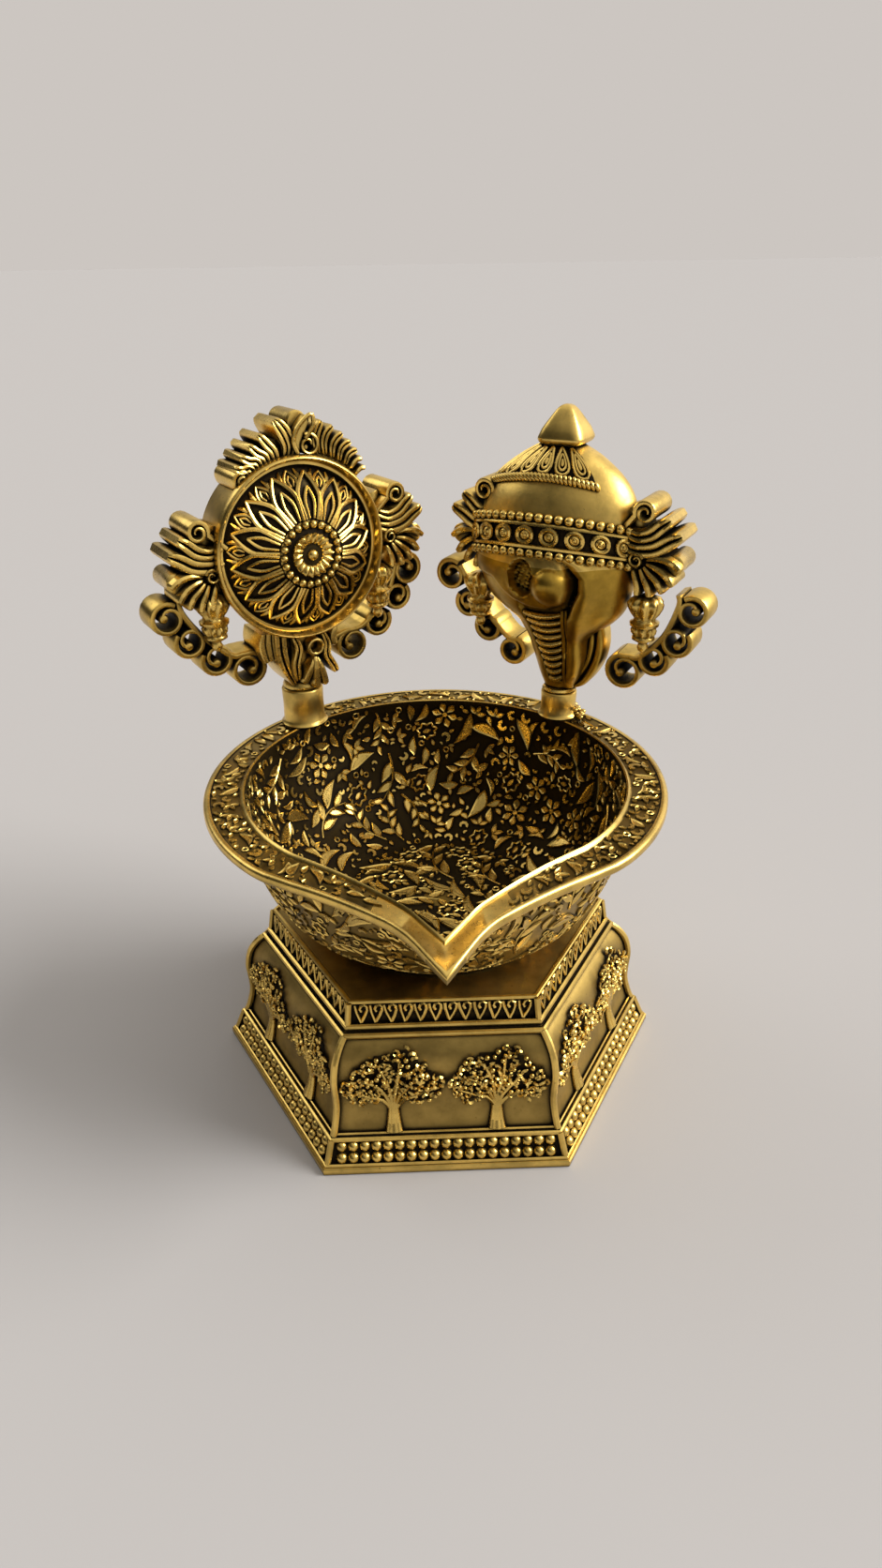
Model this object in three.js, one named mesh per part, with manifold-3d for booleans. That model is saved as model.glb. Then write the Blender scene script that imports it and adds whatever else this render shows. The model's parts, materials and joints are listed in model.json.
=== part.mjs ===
import * as THREE from 'three';
import { mergeVertices } from 'three/addons/utils/BufferGeometryUtils.js';
import Module from 'manifold-3d';

const wasm = await Module();
wasm.setup();

// A brass oil lamp: a bowl with a pointed pouring lip on a six-sided plinth, with a
// lotus disc and a conch standing on two short posts at the back of the rim.
// Millimetres, +Z up, the lip points to -Y. The plinth is built round the axis x = y = 0.
// The finished group is moved so that its origin is at the middle of its underside.

// Driving dimensions
const plinthRadius = 55;
const plinthHeight = 39.1;
const rimRadius = 53;
const lipReach = 73.9;
const rimHeight = 74;
const rimWidth = 9.3;
const rimShift = 1.5;
const bowlFootRadius = 31.5;
const bowlWall = 2.6;
const postInset = 6.2;
const discSocketHeight = 9.5;
const conchSocketHeight = 6.6;
const discRadius = 21.3;
const discRise = 36.2;
const emblemDepth = 12;
const conchHalfWidth = 20.8;
const conchRise = 60.6;
const seam = 0.3;
const overrun = 1;
const roundSides = 18;
const degree = Math.PI / 180;
const postAngle = 45 * degree;
const toeIn = 30.9 * degree;

// Colours of the old brass: polished on the high places, dark in the hollows
const brassColour = 0xb8933c;
const darkBrassColour = 0x6b5426;
const steelColour = 0x8d8f92;

function finish(colour, roughness, metalness) {
  return new THREE.MeshStandardMaterial({ color: colour, roughness, metalness });
}

const brass = finish(brassColour, 0.35, 1);
const darkBrass = finish(darkBrassColour, 0.5, 1);
const steel = finish(steelColour, 0.45, 1);

// Solids and their joins and cuts

function solidOf(geometry) {
  const bare = geometry.clone();
  bare.deleteAttribute('normal');
  bare.deleteAttribute('uv');
  const merged = mergeVertices(bare);
  const count = merged.attributes.position.count;
  const index = merged.index ? merged.index.array : Array.from({ length: count }, (_, i) => i);
  return new wasm.Manifold(new wasm.Mesh({
    numProp: 3,
    vertProperties: new Float32Array(merged.attributes.position.array),
    triVerts: new Uint32Array(index),
  }));
}

function geometryOf(solid) {
  const mesh = solid.getMesh();
  const geometry = new THREE.BufferGeometry();
  geometry.setAttribute('position', new THREE.BufferAttribute(mesh.vertProperties, 3));
  geometry.setIndex(new THREE.BufferAttribute(mesh.triVerts, 1));
  const flat = geometry.toNonIndexed();
  flat.computeVertexNormals();
  return flat;
}

function joined(solids) {
  return solids.reduce((whole, next) => whole.add(next));
}

// A loft skins rings of equal count and closes both ends with a fan to the ring's middle
function loft(rings) {
  const count = rings[0].length;
  const positions = rings.flat().flatMap((p) => [p.x, p.y, p.z]);
  const index = [];
  for (let k = 0; k + 1 < rings.length; k += 1) {
    for (let i = 0; i < count; i += 1) {
      const j = (i + 1) % count;
      const a = k * count + i;
      const b = k * count + j;
      index.push(a, b, b + count, a, b + count, a + count);
    }
  }
  const ends = [
    { ring: rings[0], base: 0, facesDown: true },
    { ring: rings.at(-1), base: (rings.length - 1) * count, facesDown: false },
  ];
  for (const { ring, base, facesDown } of ends) {
    const middle = ring.reduce((sum, p) => sum.add(p), new THREE.Vector3()).divideScalar(count);
    const centre = positions.length / 3;
    positions.push(middle.x, middle.y, middle.z);
    for (let i = 0; i < count; i += 1) {
      const j = (i + 1) % count;
      index.push(centre, base + (facesDown ? j : i), base + (facesDown ? i : j));
    }
  }
  const geometry = new THREE.BufferGeometry();
  geometry.setAttribute('position', new THREE.Float32BufferAttribute(positions, 3));
  geometry.setIndex(index);
  return geometry;
}

// A revolve round +Z of a profile of [radius, height] pairs
function turned(profile, sides) {
  const points = profile.map(([radius, height]) => new THREE.Vector2(radius, height));
  const geometry = new THREE.LatheGeometry(points, sides, Math.PI / 2);
  geometry.rotateX(Math.PI / 2);
  return geometry;
}

// An outline drawn in X and Z, given a thickness towards -Y, from back to front
function pressed(shape, back, front, curveSegments = 2) {
  const geometry = new THREE.ExtrudeGeometry(shape, {
    depth: front - back, bevelEnabled: false, curveSegments,
  });
  geometry.translate(0, 0, back);
  geometry.rotateX(Math.PI / 2);
  return geometry;
}

function polygon(points) {
  return new THREE.Shape(points.map(([x, y]) => new THREE.Vector2(x, y)));
}

function mesh(name, geometry, material) {
  const part = new THREE.Mesh(geometry, material);
  part.name = name;
  return part;
}

// Plinth: a hollow six-sided casting with a flange, a sloped band of two rows of beads,
// bowed panels with two trees in relief on each face, and a collar with a flat top
const plinthSides = 6;
const faceTurn = 2 * Math.PI / plinthSides;
const flangeHeight = 1.8;
const beadBandFootRadius = 53.8;
const beadBandTopRadius = 51;
const beadBandHeight = 4.9;
const beadRelief = 1;
const beadsPerSide = 19;
const railRadius = 51.9;
const railHeight = 0.9;
const panelBottomRadius = 50.2;
const panelTopRadius = 43.6;
const panelHeight = 23.8;
const stepHeight = 1.5;
const collarBottomRadius = 41.8;
const collarTopRadius = 40.9;
const plinthWall = 2.6;
const plinthTopThickness = 3;
const topSink = 0.5;
const topEdgeWidth = 0.9;
const panelRecess = 0.7;
const cornerRib = 1.3;
const friezeDepth = 0.6;
const friezeBorder = 0.8;
const panelShares = [
  [1, 0], [0.86, 0.1], [0.7, 0.28], [0.74, 0.62], [0.6, 0.8], [0.3, 0.93], [0, 1],
];

const railBottom = flangeHeight + beadBandHeight;
const panelBottom = railBottom + railHeight;
const panelTop = panelBottom + panelHeight;
const collarBottom = panelTop + stepHeight;
const plateTop = plinthHeight - topSink;
const plateUnderside = plateTop - plinthTopThickness;
const acrossCorners = 1 / Math.cos(faceTurn / 2);

function panelCurve(offset) {
  const spread = panelBottomRadius - panelTopRadius;
  return panelShares.map(([out, up]) => [
    panelTopRadius + out * spread + offset * acrossCorners, panelBottom + up * panelHeight,
  ]);
}

// The radius of the sloped collar to its corners at a height
function collarRadius(height) {
  const share = (height - collarBottom) / (plinthHeight - collarBottom);
  return collarBottomRadius + share * (collarTopRadius - collarBottomRadius);
}

// The space between two offsets of the panel curve, all the way round
function panelSkin(inner, outer) {
  const profile = [...panelCurve(outer), ...panelCurve(inner).reverse()];
  return solidOf(turned([...profile, profile[0]], plinthSides));
}

// A window through one face, narrower than the face by a rib at each corner
function faceWindow(bottom, top, bottomRadius, topRadius, rib, face) {
  const outline = polygon([
    [-bottomRadius / 2 + rib, bottom], [bottomRadius / 2 - rib, bottom],
    [topRadius / 2 - rib, top], [-topRadius / 2 + rib, top],
  ]);
  const geometry = pressed(outline, plinthRadius / 2, plinthRadius + overrun);
  geometry.rotateZ(face * faceTurn);
  return solidOf(geometry);
}

// Two rows of beads, each a four-sided stud. The rings of the loft run by turns through
// the gaps between the beads and over their crowns, half a bead further back each time.
const beadRingShares = [0, 0.26, 0.5, 0.75, 1];

function beadPlace(phase, share, relief) {
  const side = Math.floor(phase / beadsPerSide);
  const along = phase / beadsPerSide - side;
  const radius = beadBandFootRadius + share * (beadBandTopRadius - beadBandFootRadius);
  const corners = [side, side + 1].map((corner) => new THREE.Vector3(
    radius * Math.cos(corner * faceTurn), radius * Math.sin(corner * faceTurn),
    flangeHeight + share * beadBandHeight,
  ));
  const middle = (side + 1 / 2) * faceTurn;
  const outward = new THREE.Vector3(Math.cos(middle), Math.sin(middle), 0);
  return corners[0].lerp(corners[1], along).addScaledVector(outward, relief);
}

function beadBandSolid() {
  const rings = beadRingShares.map((share, k) => {
    const ring = [];
    for (let i = 0; i < plinthSides * beadsPerSide; i += 1) {
      ring.push(beadPlace(i - k / 2, share, k % 2 ? beadRelief : 0));
    }
    return ring;
  });
  return solidOf(loft(rings));
}

// A tree in relief: a trunk with a flared foot under a broad crown of rounded clumps.
// The shares are of half the crown's width and of the tree's height, from foot to top.
const treeHeight = 20.4;
const crownWidth = 19.4;
const treeSpacing = 21.8;
const treeRelief = 1.3;
const treeShares = [
  [0.24, 0], [0.12, 0.16], [0.14, 0.3], [0.46, 0.42], [0.8, 0.34], [1, 0.46], [0.86, 0.58],
  [0.9, 0.76], [0.56, 0.8], [0.4, 0.97],
];

function treeOutline() {
  const right = treeShares.map(([out, up]) => [out * crownWidth / 2, up * treeHeight]);
  const left = right.map(([x, z]) => [-x, z]).reverse();
  return polygon([...right, [0, treeHeight], ...left]);
}

function treeRow(face) {
  const sides = [-1, 1].map((side) => {
    const geometry = pressed(treeOutline(), plinthRadius / 2, plinthRadius + overrun);
    geometry.translate(side * treeSpacing / 2, 0, panelBottom + railHeight);
    geometry.rotateZ(face * faceTurn);
    return solidOf(geometry);
  });
  return joined(sides);
}

// The threaded stud under the bowl passes through the plinth's top
const studRadius = 3;
const studClearance = 0.4;

function plinthSolid() {
  const outside = [
    [0, 0], [plinthRadius, 0], [plinthRadius, flangeHeight],
    [beadBandFootRadius - seam, flangeHeight], [beadBandTopRadius - seam, railBottom],
    [railRadius, railBottom], [railRadius, panelBottom], ...panelCurve(0),
    [panelTopRadius, panelTop + stepHeight / 2], [collarBottomRadius, collarBottom],
    [collarTopRadius, plinthHeight], [collarTopRadius - topEdgeWidth, plinthHeight],
    [collarTopRadius - topEdgeWidth - topSink, plateTop], [0, plateTop],
  ];
  const hollow = [
    [0, -overrun], [beadBandTopRadius - plinthWall / 2, -overrun],
    [beadBandTopRadius - plinthWall / 2, flangeHeight],
    ...panelCurve(-plinthWall), [collarBottomRadius - plinthWall * acrossCorners, collarBottom],
    [collarRadius(plateUnderside) - plinthWall * acrossCorners, plateUnderside],
    [0, plateUnderside],
  ];
  let body = solidOf(turned(outside, plinthSides)).add(beadBandSolid());
  body = body.subtract(solidOf(turned(hollow, plinthSides)));
  const recess = panelSkin(-panelRecess, overrun);
  const collarProfile = [
    [collarBottomRadius - friezeDepth * acrossCorners, collarBottom],
    [collarBottomRadius + overrun, collarBottom], [collarTopRadius + overrun, plinthHeight],
    [collarTopRadius - friezeDepth * acrossCorners, plinthHeight],
  ];
  const friezeSkin = solidOf(turned([...collarProfile, collarProfile[0]], plinthSides));
  const relief = panelSkin(-plinthWall / 2, treeRelief - panelRecess);
  for (let face = 0; face < plinthSides; face += 1) {
    const panelWindow = faceWindow(
      panelBottom + railHeight, panelTop - railHeight, panelBottomRadius, panelTopRadius, cornerRib, face,
    );
    const friezeWindow = faceWindow(
      collarBottom + friezeBorder, plinthHeight - friezeBorder, collarBottomRadius, collarTopRadius,
      cornerRib, face,
    );
    body = body.subtract(recess.intersect(panelWindow));
    body = body.subtract(friezeSkin.intersect(friezeWindow));
    body = body.add(treeRow(face).intersect(relief));
  }
  const studHole = new THREE.CylinderGeometry(
    studRadius + studClearance, studRadius + studClearance, plinthHeight, roundSides,
  );
  studHole.rotateX(Math.PI / 2);
  studHole.translate(0, 0, plinthHeight);
  return body.subtract(solidOf(studHole));
}

// Bowl: one casting. Every level is a circle whose front is drawn out along two
// straight tangents to a point; the lip share says how far a level follows the lip
const bowlSteps = 40;
const lipAngle = Math.acos(rimRadius / lipReach);
const lipPinchShare = 0.025;
const lipGroove = 2.4;
const grooveAngle = 7 * degree;
const rimThickness = 2.8;
const rimEdgeRound = 0.8;
const rimBead = 0.5;
const footRecess = 1.2;
const footWidth = 3.5;
const leafRelief = 0.9;
const bowlShares = [
  [0.685, 0, 0], [0.79, 0.105, 0], [0.875, 0.245, 0.04], [0.94, 0.43, 0.14],
  [0.98, 0.63, 0.34], [1, 0.8, 0.62], [1, 1, 0.9],
];
const leafReliefShares = [0, 0.7, 1, 1, 1, 0.8, 0];
const floorShares = [0.82, 0.55, 0.25];

const bowlBottom = plateTop + seam;
const wallRadius = rimRadius - rimWidth + bowlWall;
const rimUnderside = rimHeight - rimThickness;

function lipFactor(angle, lipShare) {
  const away = Math.abs(angle);
  if (away >= lipAngle) return 1;
  const straight = 1 / Math.cos(lipAngle - away);
  const pinch = lipPinchShare * Math.sin(Math.PI * away / lipAngle);
  return 1 + lipShare * (straight - 1 - pinch);
}

// A ring may have every other point raised; the raised ones change places from one
// level to the next, so that they form low leaves that overlap like scales
function bowlRing(radius, height, lipShare, relief = 0, level = 0) {
  const ring = [];
  for (let i = 0; i < bowlSteps; i += 1) {
    const angle = (i / bowlSteps) * 2 * Math.PI;
    const away = angle > Math.PI ? angle - 2 * Math.PI : angle;
    const raised = (i + level) % 2 ? 0 : relief;
    const reach = radius * lipFactor(away, lipShare) + raised;
    const groove = lipGroove * lipShare * Math.max(0, 1 - Math.abs(away) / grooveAngle);
    ring.push(new THREE.Vector3(
      reach * Math.sin(away), rimShift - reach * Math.cos(away), height - groove,
    ));
  }
  return ring;
}

// The outside levels of the wall, from the foot up to the underside of the rim
function wallLevels() {
  const rise = rimUnderside - bowlBottom;
  return bowlShares.map(([out, up, lip]) => ({
    radius: out * wallRadius, height: bowlBottom + up * rise, lip,
  }));
}

// The inside levels lie one wall thickness in from the outside ones
function insideLevels() {
  const levels = wallLevels();
  return levels.map((level, i) => {
    const below = levels[Math.max(i - 1, 0)];
    const above = levels[Math.min(i + 1, levels.length - 1)];
    const slope = Math.atan2(above.height - below.height, above.radius - below.radius);
    return {
      radius: level.radius - bowlWall * Math.sin(slope),
      height: level.height + bowlWall * Math.cos(slope),
      lip: level.lip,
    };
  });
}

function bowlSolid() {
  const inner = insideLevels().reverse();
  const rimInner = rimRadius - rimWidth;
  const floor = inner.at(-1);
  const rings = [
    bowlRing(bowlFootRadius - footWidth, bowlBottom + footRecess, 0),
    bowlRing(bowlFootRadius - footWidth, bowlBottom, 0),
    ...wallLevels().map((level, k) => bowlRing(
      level.radius, level.height, level.lip, leafRelief * leafReliefShares[k], k,
    )),
    bowlRing(rimRadius - rimEdgeRound, rimUnderside + rimEdgeRound / 2, 1),
    bowlRing(rimRadius, rimUnderside + rimEdgeRound, 1),
    bowlRing(rimRadius, rimHeight - rimEdgeRound, 1),
    bowlRing(rimRadius - rimEdgeRound, rimHeight, 1),
    bowlRing(rimInner + 2 * rimBead, rimHeight, 1),
    bowlRing(rimInner + rimBead, rimHeight + rimBead, 1),
    bowlRing(rimInner, rimHeight, 1),
    ...inner.map((level) => bowlRing(level.radius, level.height, level.lip)),
    ...floorShares.map((share) => bowlRing(
      floor.radius * share, floor.height - (1 - share) * bowlWall / 2, 0,
    )),
  ];
  return solidOf(loft(rings));
}

// Fastening of the bowl: a stud with a flat head brazed in the foot's recess, and a
// washer and a six-sided nut inside the plinth
const studHeadRadius = 7;
const studHeadThickness = 0.9;
const washerRadius = 8;
const washerThickness = 1.2;
const nutRadius = 5.8;
const nutHeight = 4.6;
const threadClearance = 0.3;

const studTop = bowlBottom + footRecess - seam;
const washerTop = plateUnderside - seam;
const nutTop = washerTop - washerThickness - seam;
const studBottom = nutTop - nutHeight - studRadius;

function studGeometry() {
  return turned([
    [0, studBottom], [studRadius, studBottom], [studRadius, studTop - studHeadThickness],
    [studHeadRadius, studTop - studHeadThickness], [studHeadRadius, studTop], [0, studTop],
  ], roundSides);
}

function annulus(bore, radius, bottom, top, sides) {
  const outer = solidOf(turned([[0, bottom], [radius, bottom], [radius, top], [0, top]], sides));
  const hole = turned([
    [0, bottom - overrun], [bore, bottom - overrun], [bore, top + overrun], [0, top + overrun],
  ], roundSides);
  return outer.subtract(solidOf(hole));
}

// Sockets: two short tubes brazed upright on the rim
const discSocketRadius = 5.25;
const conchSocketRadius = 4.6;
const socketBottom = rimHeight + rimBead + seam;
const pinRadius = 3.1;
const pinClearance = 0.3;

const postRadius = rimRadius - postInset;
const postX = postRadius * Math.sin(postAngle);
const postY = rimShift + postRadius * Math.cos(postAngle);

function socketSolid(radius, height) {
  return annulus(pinRadius + pinClearance, radius, socketBottom, socketBottom + height, roundSides);
}

// Emblems are drawn as they are seen from the front: X across, Z up from the top of
// their socket, and -Y towards the viewer. Each is then turned and set on its post.
const faceFront = emblemDepth / 2;
const faceBack = -emblemDepth / 2;

// The round pin under an emblem, in the bore of its socket
function pinSolid(socketHeight, shoulderRadius, shoulderHeight) {
  const bottom = -(socketHeight - seam);
  return solidOf(turned([
    [0, bottom], [pinRadius, bottom], [pinRadius, seam], [shoulderRadius, seam],
    [shoulderRadius, seam + shoulderHeight], [0, seam + shoulderHeight],
  ], roundSides));
}

// A disc lying in the plane of an emblem: a revolve turned to look forward
function discOf(profile, sides) {
  const geometry = turned(profile, sides);
  geometry.rotateX(Math.PI / 2);
  geometry.translate(0, 0, discRise);
  return solidOf(geometry);
}

// Lotus disc: a thick drum, a rounded ring round its face, a domed medallion of
// petals in the ring and a fluted hub on top of the dome
const drumEdge = 0.9;
const drumSides = 32;
const ringWidth = 2.2;
const ringHeight = 2;
const ringSteps = 4;
const medallionSeat = 1.6;
const domeHeight = 7.6;
const petalCount = 14;
const petalRelief = 0.9;
const petalPhaseShares = [1, 0.7, 0, 0.7];
const medallionShares = [1, 0.92, 0.76, 0.52, 0.42];
const petalReliefShares = [0, 0.5, 1, 0.9, 0];
const hubRadius = 7.2;
const hubHeight = 2.2;
const hubBallRadius = 1.5;

const drumRadius = discRadius - drumEdge;
const medallionRadius = discRadius - ringWidth - seam;
const medallionBack = faceFront - medallionSeat;

function drumSolid() {
  return discOf([
    [0, faceBack], [drumRadius - drumEdge, faceBack], [drumRadius, faceBack + drumEdge],
    [drumRadius, faceFront - seam], [medallionRadius + seam, faceFront - seam],
    [medallionRadius + seam, medallionBack - seam], [0, medallionBack - seam],
  ], drumSides);
}

function faceRingSolid() {
  const middle = discRadius - ringWidth / 2;
  const profile = [[discRadius, faceFront]];
  for (let i = 1; i < ringSteps; i += 1) {
    const angle = i * Math.PI / ringSteps;
    profile.push([middle + ringWidth / 2 * Math.cos(angle), faceFront + ringHeight * Math.sin(angle)]);
  }
  profile.push([middle - ringWidth / 2, faceFront], [discRadius, faceFront]);
  return discOf(profile, drumSides);
}

// The dome's height at a share of its radius: a flat circle arc from rim to middle
function domeAt(share) {
  return medallionBack + medallionSeat / 2 + domeHeight * (1 - share * share);
}

function medallionSolid() {
  const around = petalCount * petalPhaseShares.length;
  const rings = [];
  const ringAt = (share, heightOf) => {
    const ring = [];
    for (let i = 0; i < around; i += 1) {
      const angle = i * 2 * Math.PI / around;
      const radius = share * medallionRadius;
      ring.push(new THREE.Vector3(
        radius * Math.cos(angle), -heightOf(i % petalPhaseShares.length), discRise + radius * Math.sin(angle),
      ));
    }
    return ring;
  };
  rings.push(ringAt(1, () => medallionBack));
  medallionShares.forEach((share, k) => {
    rings.push(ringAt(share, (phase) => (
      domeAt(share) + petalRelief * petalReliefShares[k] * petalPhaseShares[phase]
    )));
  });
  return solidOf(loft(rings));
}

const hubSeat = domeAt(medallionShares.at(-1)) + seam;

function hubSolid() {
  const rib = hubRadius / 4;
  return discOf([
    [0, hubSeat], [hubRadius, hubSeat], [hubRadius, hubSeat + hubHeight / 2],
    [hubRadius - rib / 2, hubSeat + hubHeight / 2 + rib / 3], [hubRadius - rib, hubSeat + hubHeight / 2],
    [hubRadius - rib - seam, hubSeat + hubHeight / 3], [3 * rib - seam, hubSeat + hubHeight],
    [2 * rib, hubSeat + hubHeight + rib / 2], [hubBallRadius, hubSeat + hubHeight],
    [hubBallRadius * Math.SQRT1_2, hubSeat + hubHeight + hubBallRadius * Math.SQRT1_2],
    [0, hubSeat + hubHeight + hubBallRadius],
  ], roundSides);
}

// The room that the disc and its ring take, which the pieces brazed round them keep clear of
function discClear() {
  const radius = discRadius + seam;
  return discOf([
    [0, 2 * faceBack], [radius, 2 * faceBack], [radius, 2 * faceFront], [0, 2 * faceFront],
  ], drumSides);
}

// Crest: a fan of pointed leaves round the top of the disc that lean outward, long in the
// middle and short at its ends, with a rolled end behind its tip
const crestHalfAngle = 52 * degree;
const crestLeaves = 12;
const crestRise = 8.6;
const crestEndRise = 3.2;
const crestRollRadius = 2.6;
const crestRollRise = 9;
const crestRollOffset = 1.2;
const rollSides = 12;
const crestValleyShare = 0.45;
const crestLeanShare = 0.32;
const crestOuterShares = [0.6, 0.8];
const crestInnerShares = [0.22, 0.98];

function crestSolid() {
  const foot = discRadius + seam;
  const step = 2 * crestHalfAngle / crestLeaves;
  const riseAt = (angle) => (
    crestEndRise + (crestRise - crestEndRise) * Math.cos(Math.PI / 2 * angle / crestHalfAngle)
  );
  const at = (angle, share) => {
    const radius = foot + riseAt(angle) * share;
    return [radius * Math.sin(angle), discRise + radius * Math.cos(angle)];
  };
  const shape = new THREE.Shape();
  shape.moveTo(...at(-crestHalfAngle, 0));
  for (let i = 0; i < crestLeaves; i += 1) {
    const middle = -crestHalfAngle + (i + 1 / 2) * step;
    const hand = Math.sign(middle);
    const outer = at(middle + hand * crestOuterShares[0] * step, crestOuterShares[1]);
    const inner = at(middle - hand * crestInnerShares[0] * step, crestInnerShares[1]);
    const [rising, falling] = hand < 0 ? [outer, inner] : [inner, outer];
    shape.lineTo(...at(middle - step / 2, crestValleyShare));
    shape.quadraticCurveTo(...rising, ...at(middle + hand * crestLeanShare * step, 1));
    shape.quadraticCurveTo(...falling, ...at(middle + step / 2, crestValleyShare));
  }
  for (let i = 0; i < crestLeaves; i += 1) shape.lineTo(...at(crestHalfAngle - i * step, 0));
  const leaves = solidOf(pressed(shape, faceBack + crestRollRadius / 2, faceFront));
  const rollZ = discRise + foot + crestRollRise - crestRollRadius;
  const roll = new THREE.CylinderGeometry(crestRollRadius, crestRollRadius, emblemDepth / 2, rollSides);
  roll.translate(crestRollOffset, -(faceBack + emblemDepth / 4), rollZ);
  return leaves.add(solidOf(roll));
}

// Side flames: a rolled band end on top, then pointed leaves that fan out and down.
// The shares are of the fan's reach and height, from its lower inner corner.
const flameShares = {
  roots: [[0, 0.72], [0.62, 0.56], [0.66, 0.36], [0.6, 0.2], [0.46, 0.1], [0.1, 0.06]],
  tips: [[0.82, 0.66], [1, 0.48], [0.96, 0.27], [0.74, 0.08], [0.5, 0]],
  bellies: [0.14, 0.1, 0.08, 0.06, 0.05],
};
const flameRollRadius = 3;
const flameFoot = 6;

function flameSolid(flame, clear) {
  const at = ([across, up]) => [
    flame.x + across * flame.reach, flame.z + up * flame.height,
  ];
  const shape = new THREE.Shape();
  shape.moveTo(...at(flameShares.roots[0]));
  flameShares.tips.forEach((tip, i) => {
    const root = flameShares.roots[i];
    const next = flameShares.roots[i + 1];
    const belly = flameShares.bellies[i];
    const over = [(root[0] + tip[0]) / 2, (root[1] + tip[1]) / 2 + belly];
    const under = [(next[0] + tip[0]) / 2, (next[1] + tip[1]) / 2 + belly / 2];
    shape.quadraticCurveTo(...at(over), ...at(tip));
    shape.quadraticCurveTo(...at(under), ...at(next));
  });
  shape.lineTo(flame.x - flameFoot, flame.z + flame.height / 4);
  shape.lineTo(flame.x - flameFoot, flame.z + flame.height - 2 * flameRollRadius);
  const leaves = solidOf(pressed(shape, faceBack, faceFront));
  const roll = new THREE.CylinderGeometry(flameRollRadius, flameRollRadius, emblemDepth, rollSides);
  roll.translate(flame.rollX, 0, flame.z + flame.height - flameRollRadius);
  const neck = polygon([
    [flame.x - flameFoot, flame.z + flame.height / 2],
    [flame.x + flame.reach / 2, flame.z + flame.height / 2],
    [flame.rollX + flameRollRadius, flame.z + flame.height - flameRollRadius],
    [flame.rollX - flameRollRadius, flame.z + flame.height - flameRollRadius],
  ]);
  return joined([leaves, solidOf(roll), solidOf(pressed(neck, faceBack, faceFront))]).subtract(clear);
}

// Scroll spray: four bands rolled into open curls, strung on one curved band that runs
// down from the flames and in to the emblem. Each curl has its middle and its radius as
// shares of the spray's reach, the angle at which it starts, and the way it winds.
const sprayReach = 36.5;
const scrollBand = 1.5;
const scrollTurns = 1.35;
const scrollSteps = 11;
const scrollEyeShare = 0.3;
const scrollCloseShare = 1.7;
const sprayFront = 0.6;
const sprayDepth = 8.3;
const stemSteps = 6;
const sprayTopShares = [0.79, 0.79];
const discSpray = {
  footShares: [0.21, 0.51],
  scrollShares: [[0.877, 0.647, 0.123], [0.756, 0.468, 0.11], [0.592, 0.318, 0.112], [0.375, 0.208, 0.129]],
};
const conchSpray = {
  footShares: [0.08, 0.38],
  scrollShares: [[0.885, 0.69, 0.115], [0.805, 0.477, 0.112], [0.663, 0.329, 0.112], [0.46, 0.219, 0.129]],
};
const scrollStarts = [125, 125, 105, 60];
const scrollHands = [1, 1, 1, -1];

// One curl: a band that winds in from its outer radius to a small eye
function curlShape(scroll) {
  const outer = [];
  const inner = [];
  for (let i = 0; i <= scrollSteps; i += 1) {
    const share = i / scrollSteps;
    const angle = scroll.start * degree - scroll.hand * share * scrollTurns * 2 * Math.PI;
    const radius = scroll.radius * (1 - (1 - scrollEyeShare) * share ** scrollCloseShare);
    const thin = Math.min(scrollBand, radius - scrollBand / 4) * (1 - share / 2);
    outer.push([scroll.x + radius * Math.cos(angle), scroll.z + radius * Math.sin(angle)]);
    inner.push([
      scroll.x + (radius - thin) * Math.cos(angle), scroll.z + (radius - thin) * Math.sin(angle),
    ]);
  }
  return polygon([...outer, ...inner.reverse()]);
}

// A band of even thickness along a smooth line through a few points
function bandShape(points, thickness, steps) {
  const line = new THREE.SplineCurve(points.map(([x, y]) => new THREE.Vector2(x, y)));
  const left = [];
  const right = [];
  for (let i = 0; i <= steps; i += 1) {
    const point = line.getPoint(i / steps);
    const along = line.getTangent(i / steps);
    left.push([point.x - along.y * thickness / 2, point.y + along.x * thickness / 2]);
    right.push([point.x + along.y * thickness / 2, point.y - along.x * thickness / 2]);
  }
  return polygon([...left, ...right.reverse()]);
}

function spraySolid(spray) {
  const sized = (shares) => shares.map((share) => share * sprayReach);
  const scrolls = spray.scrollShares.map((shares, i) => {
    const [x, z, radius] = sized(shares);
    return { x, z, radius, start: scrollStarts[i], hand: scrollHands[i] };
  });
  const reach = (scroll) => scroll.radius - scrollBand / 2;
  const startOf = (scroll) => [
    scroll.x + reach(scroll) * Math.cos(scroll.start * degree),
    scroll.z + reach(scroll) * Math.sin(scroll.start * degree),
  ];
  const [first, second, third, last] = scrolls;
  const stem = [
    sized(sprayTopShares),
    startOf(first),
    [first.x - first.radius, first.z - scrollBand],
    [second.x - reach(second) * Math.SQRT1_2, second.z + reach(second) * Math.SQRT1_2],
    [third.x, third.z + reach(third)],
    [last.x, last.z + reach(last)],
    sized(spray.footShares),
  ];
  const pieces = [bandShape(stem, scrollBand, 2 * stemSteps), ...scrolls.map(curlShape)];
  return joined(pieces.map((shape) => solidOf(pressed(shape, sprayFront - sprayDepth, sprayFront))));
}

// Pendant: a lotus bud hanging from the flames, with a collar and a small drop
const pendantSides = 8;
const pendantBudRadius = 3.1;
const pendantLength = 14.4;
const pendantShares = [
  [0, 0], [0.4, 0.1], [0.3, 0.2], [0.64, 0.28], [0.64, 0.4], [0.76, 0.46], [0.7, 0.53],
  [0.46, 0.56], [1, 0.82], [0.5, 1], [0, 1],
];

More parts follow.
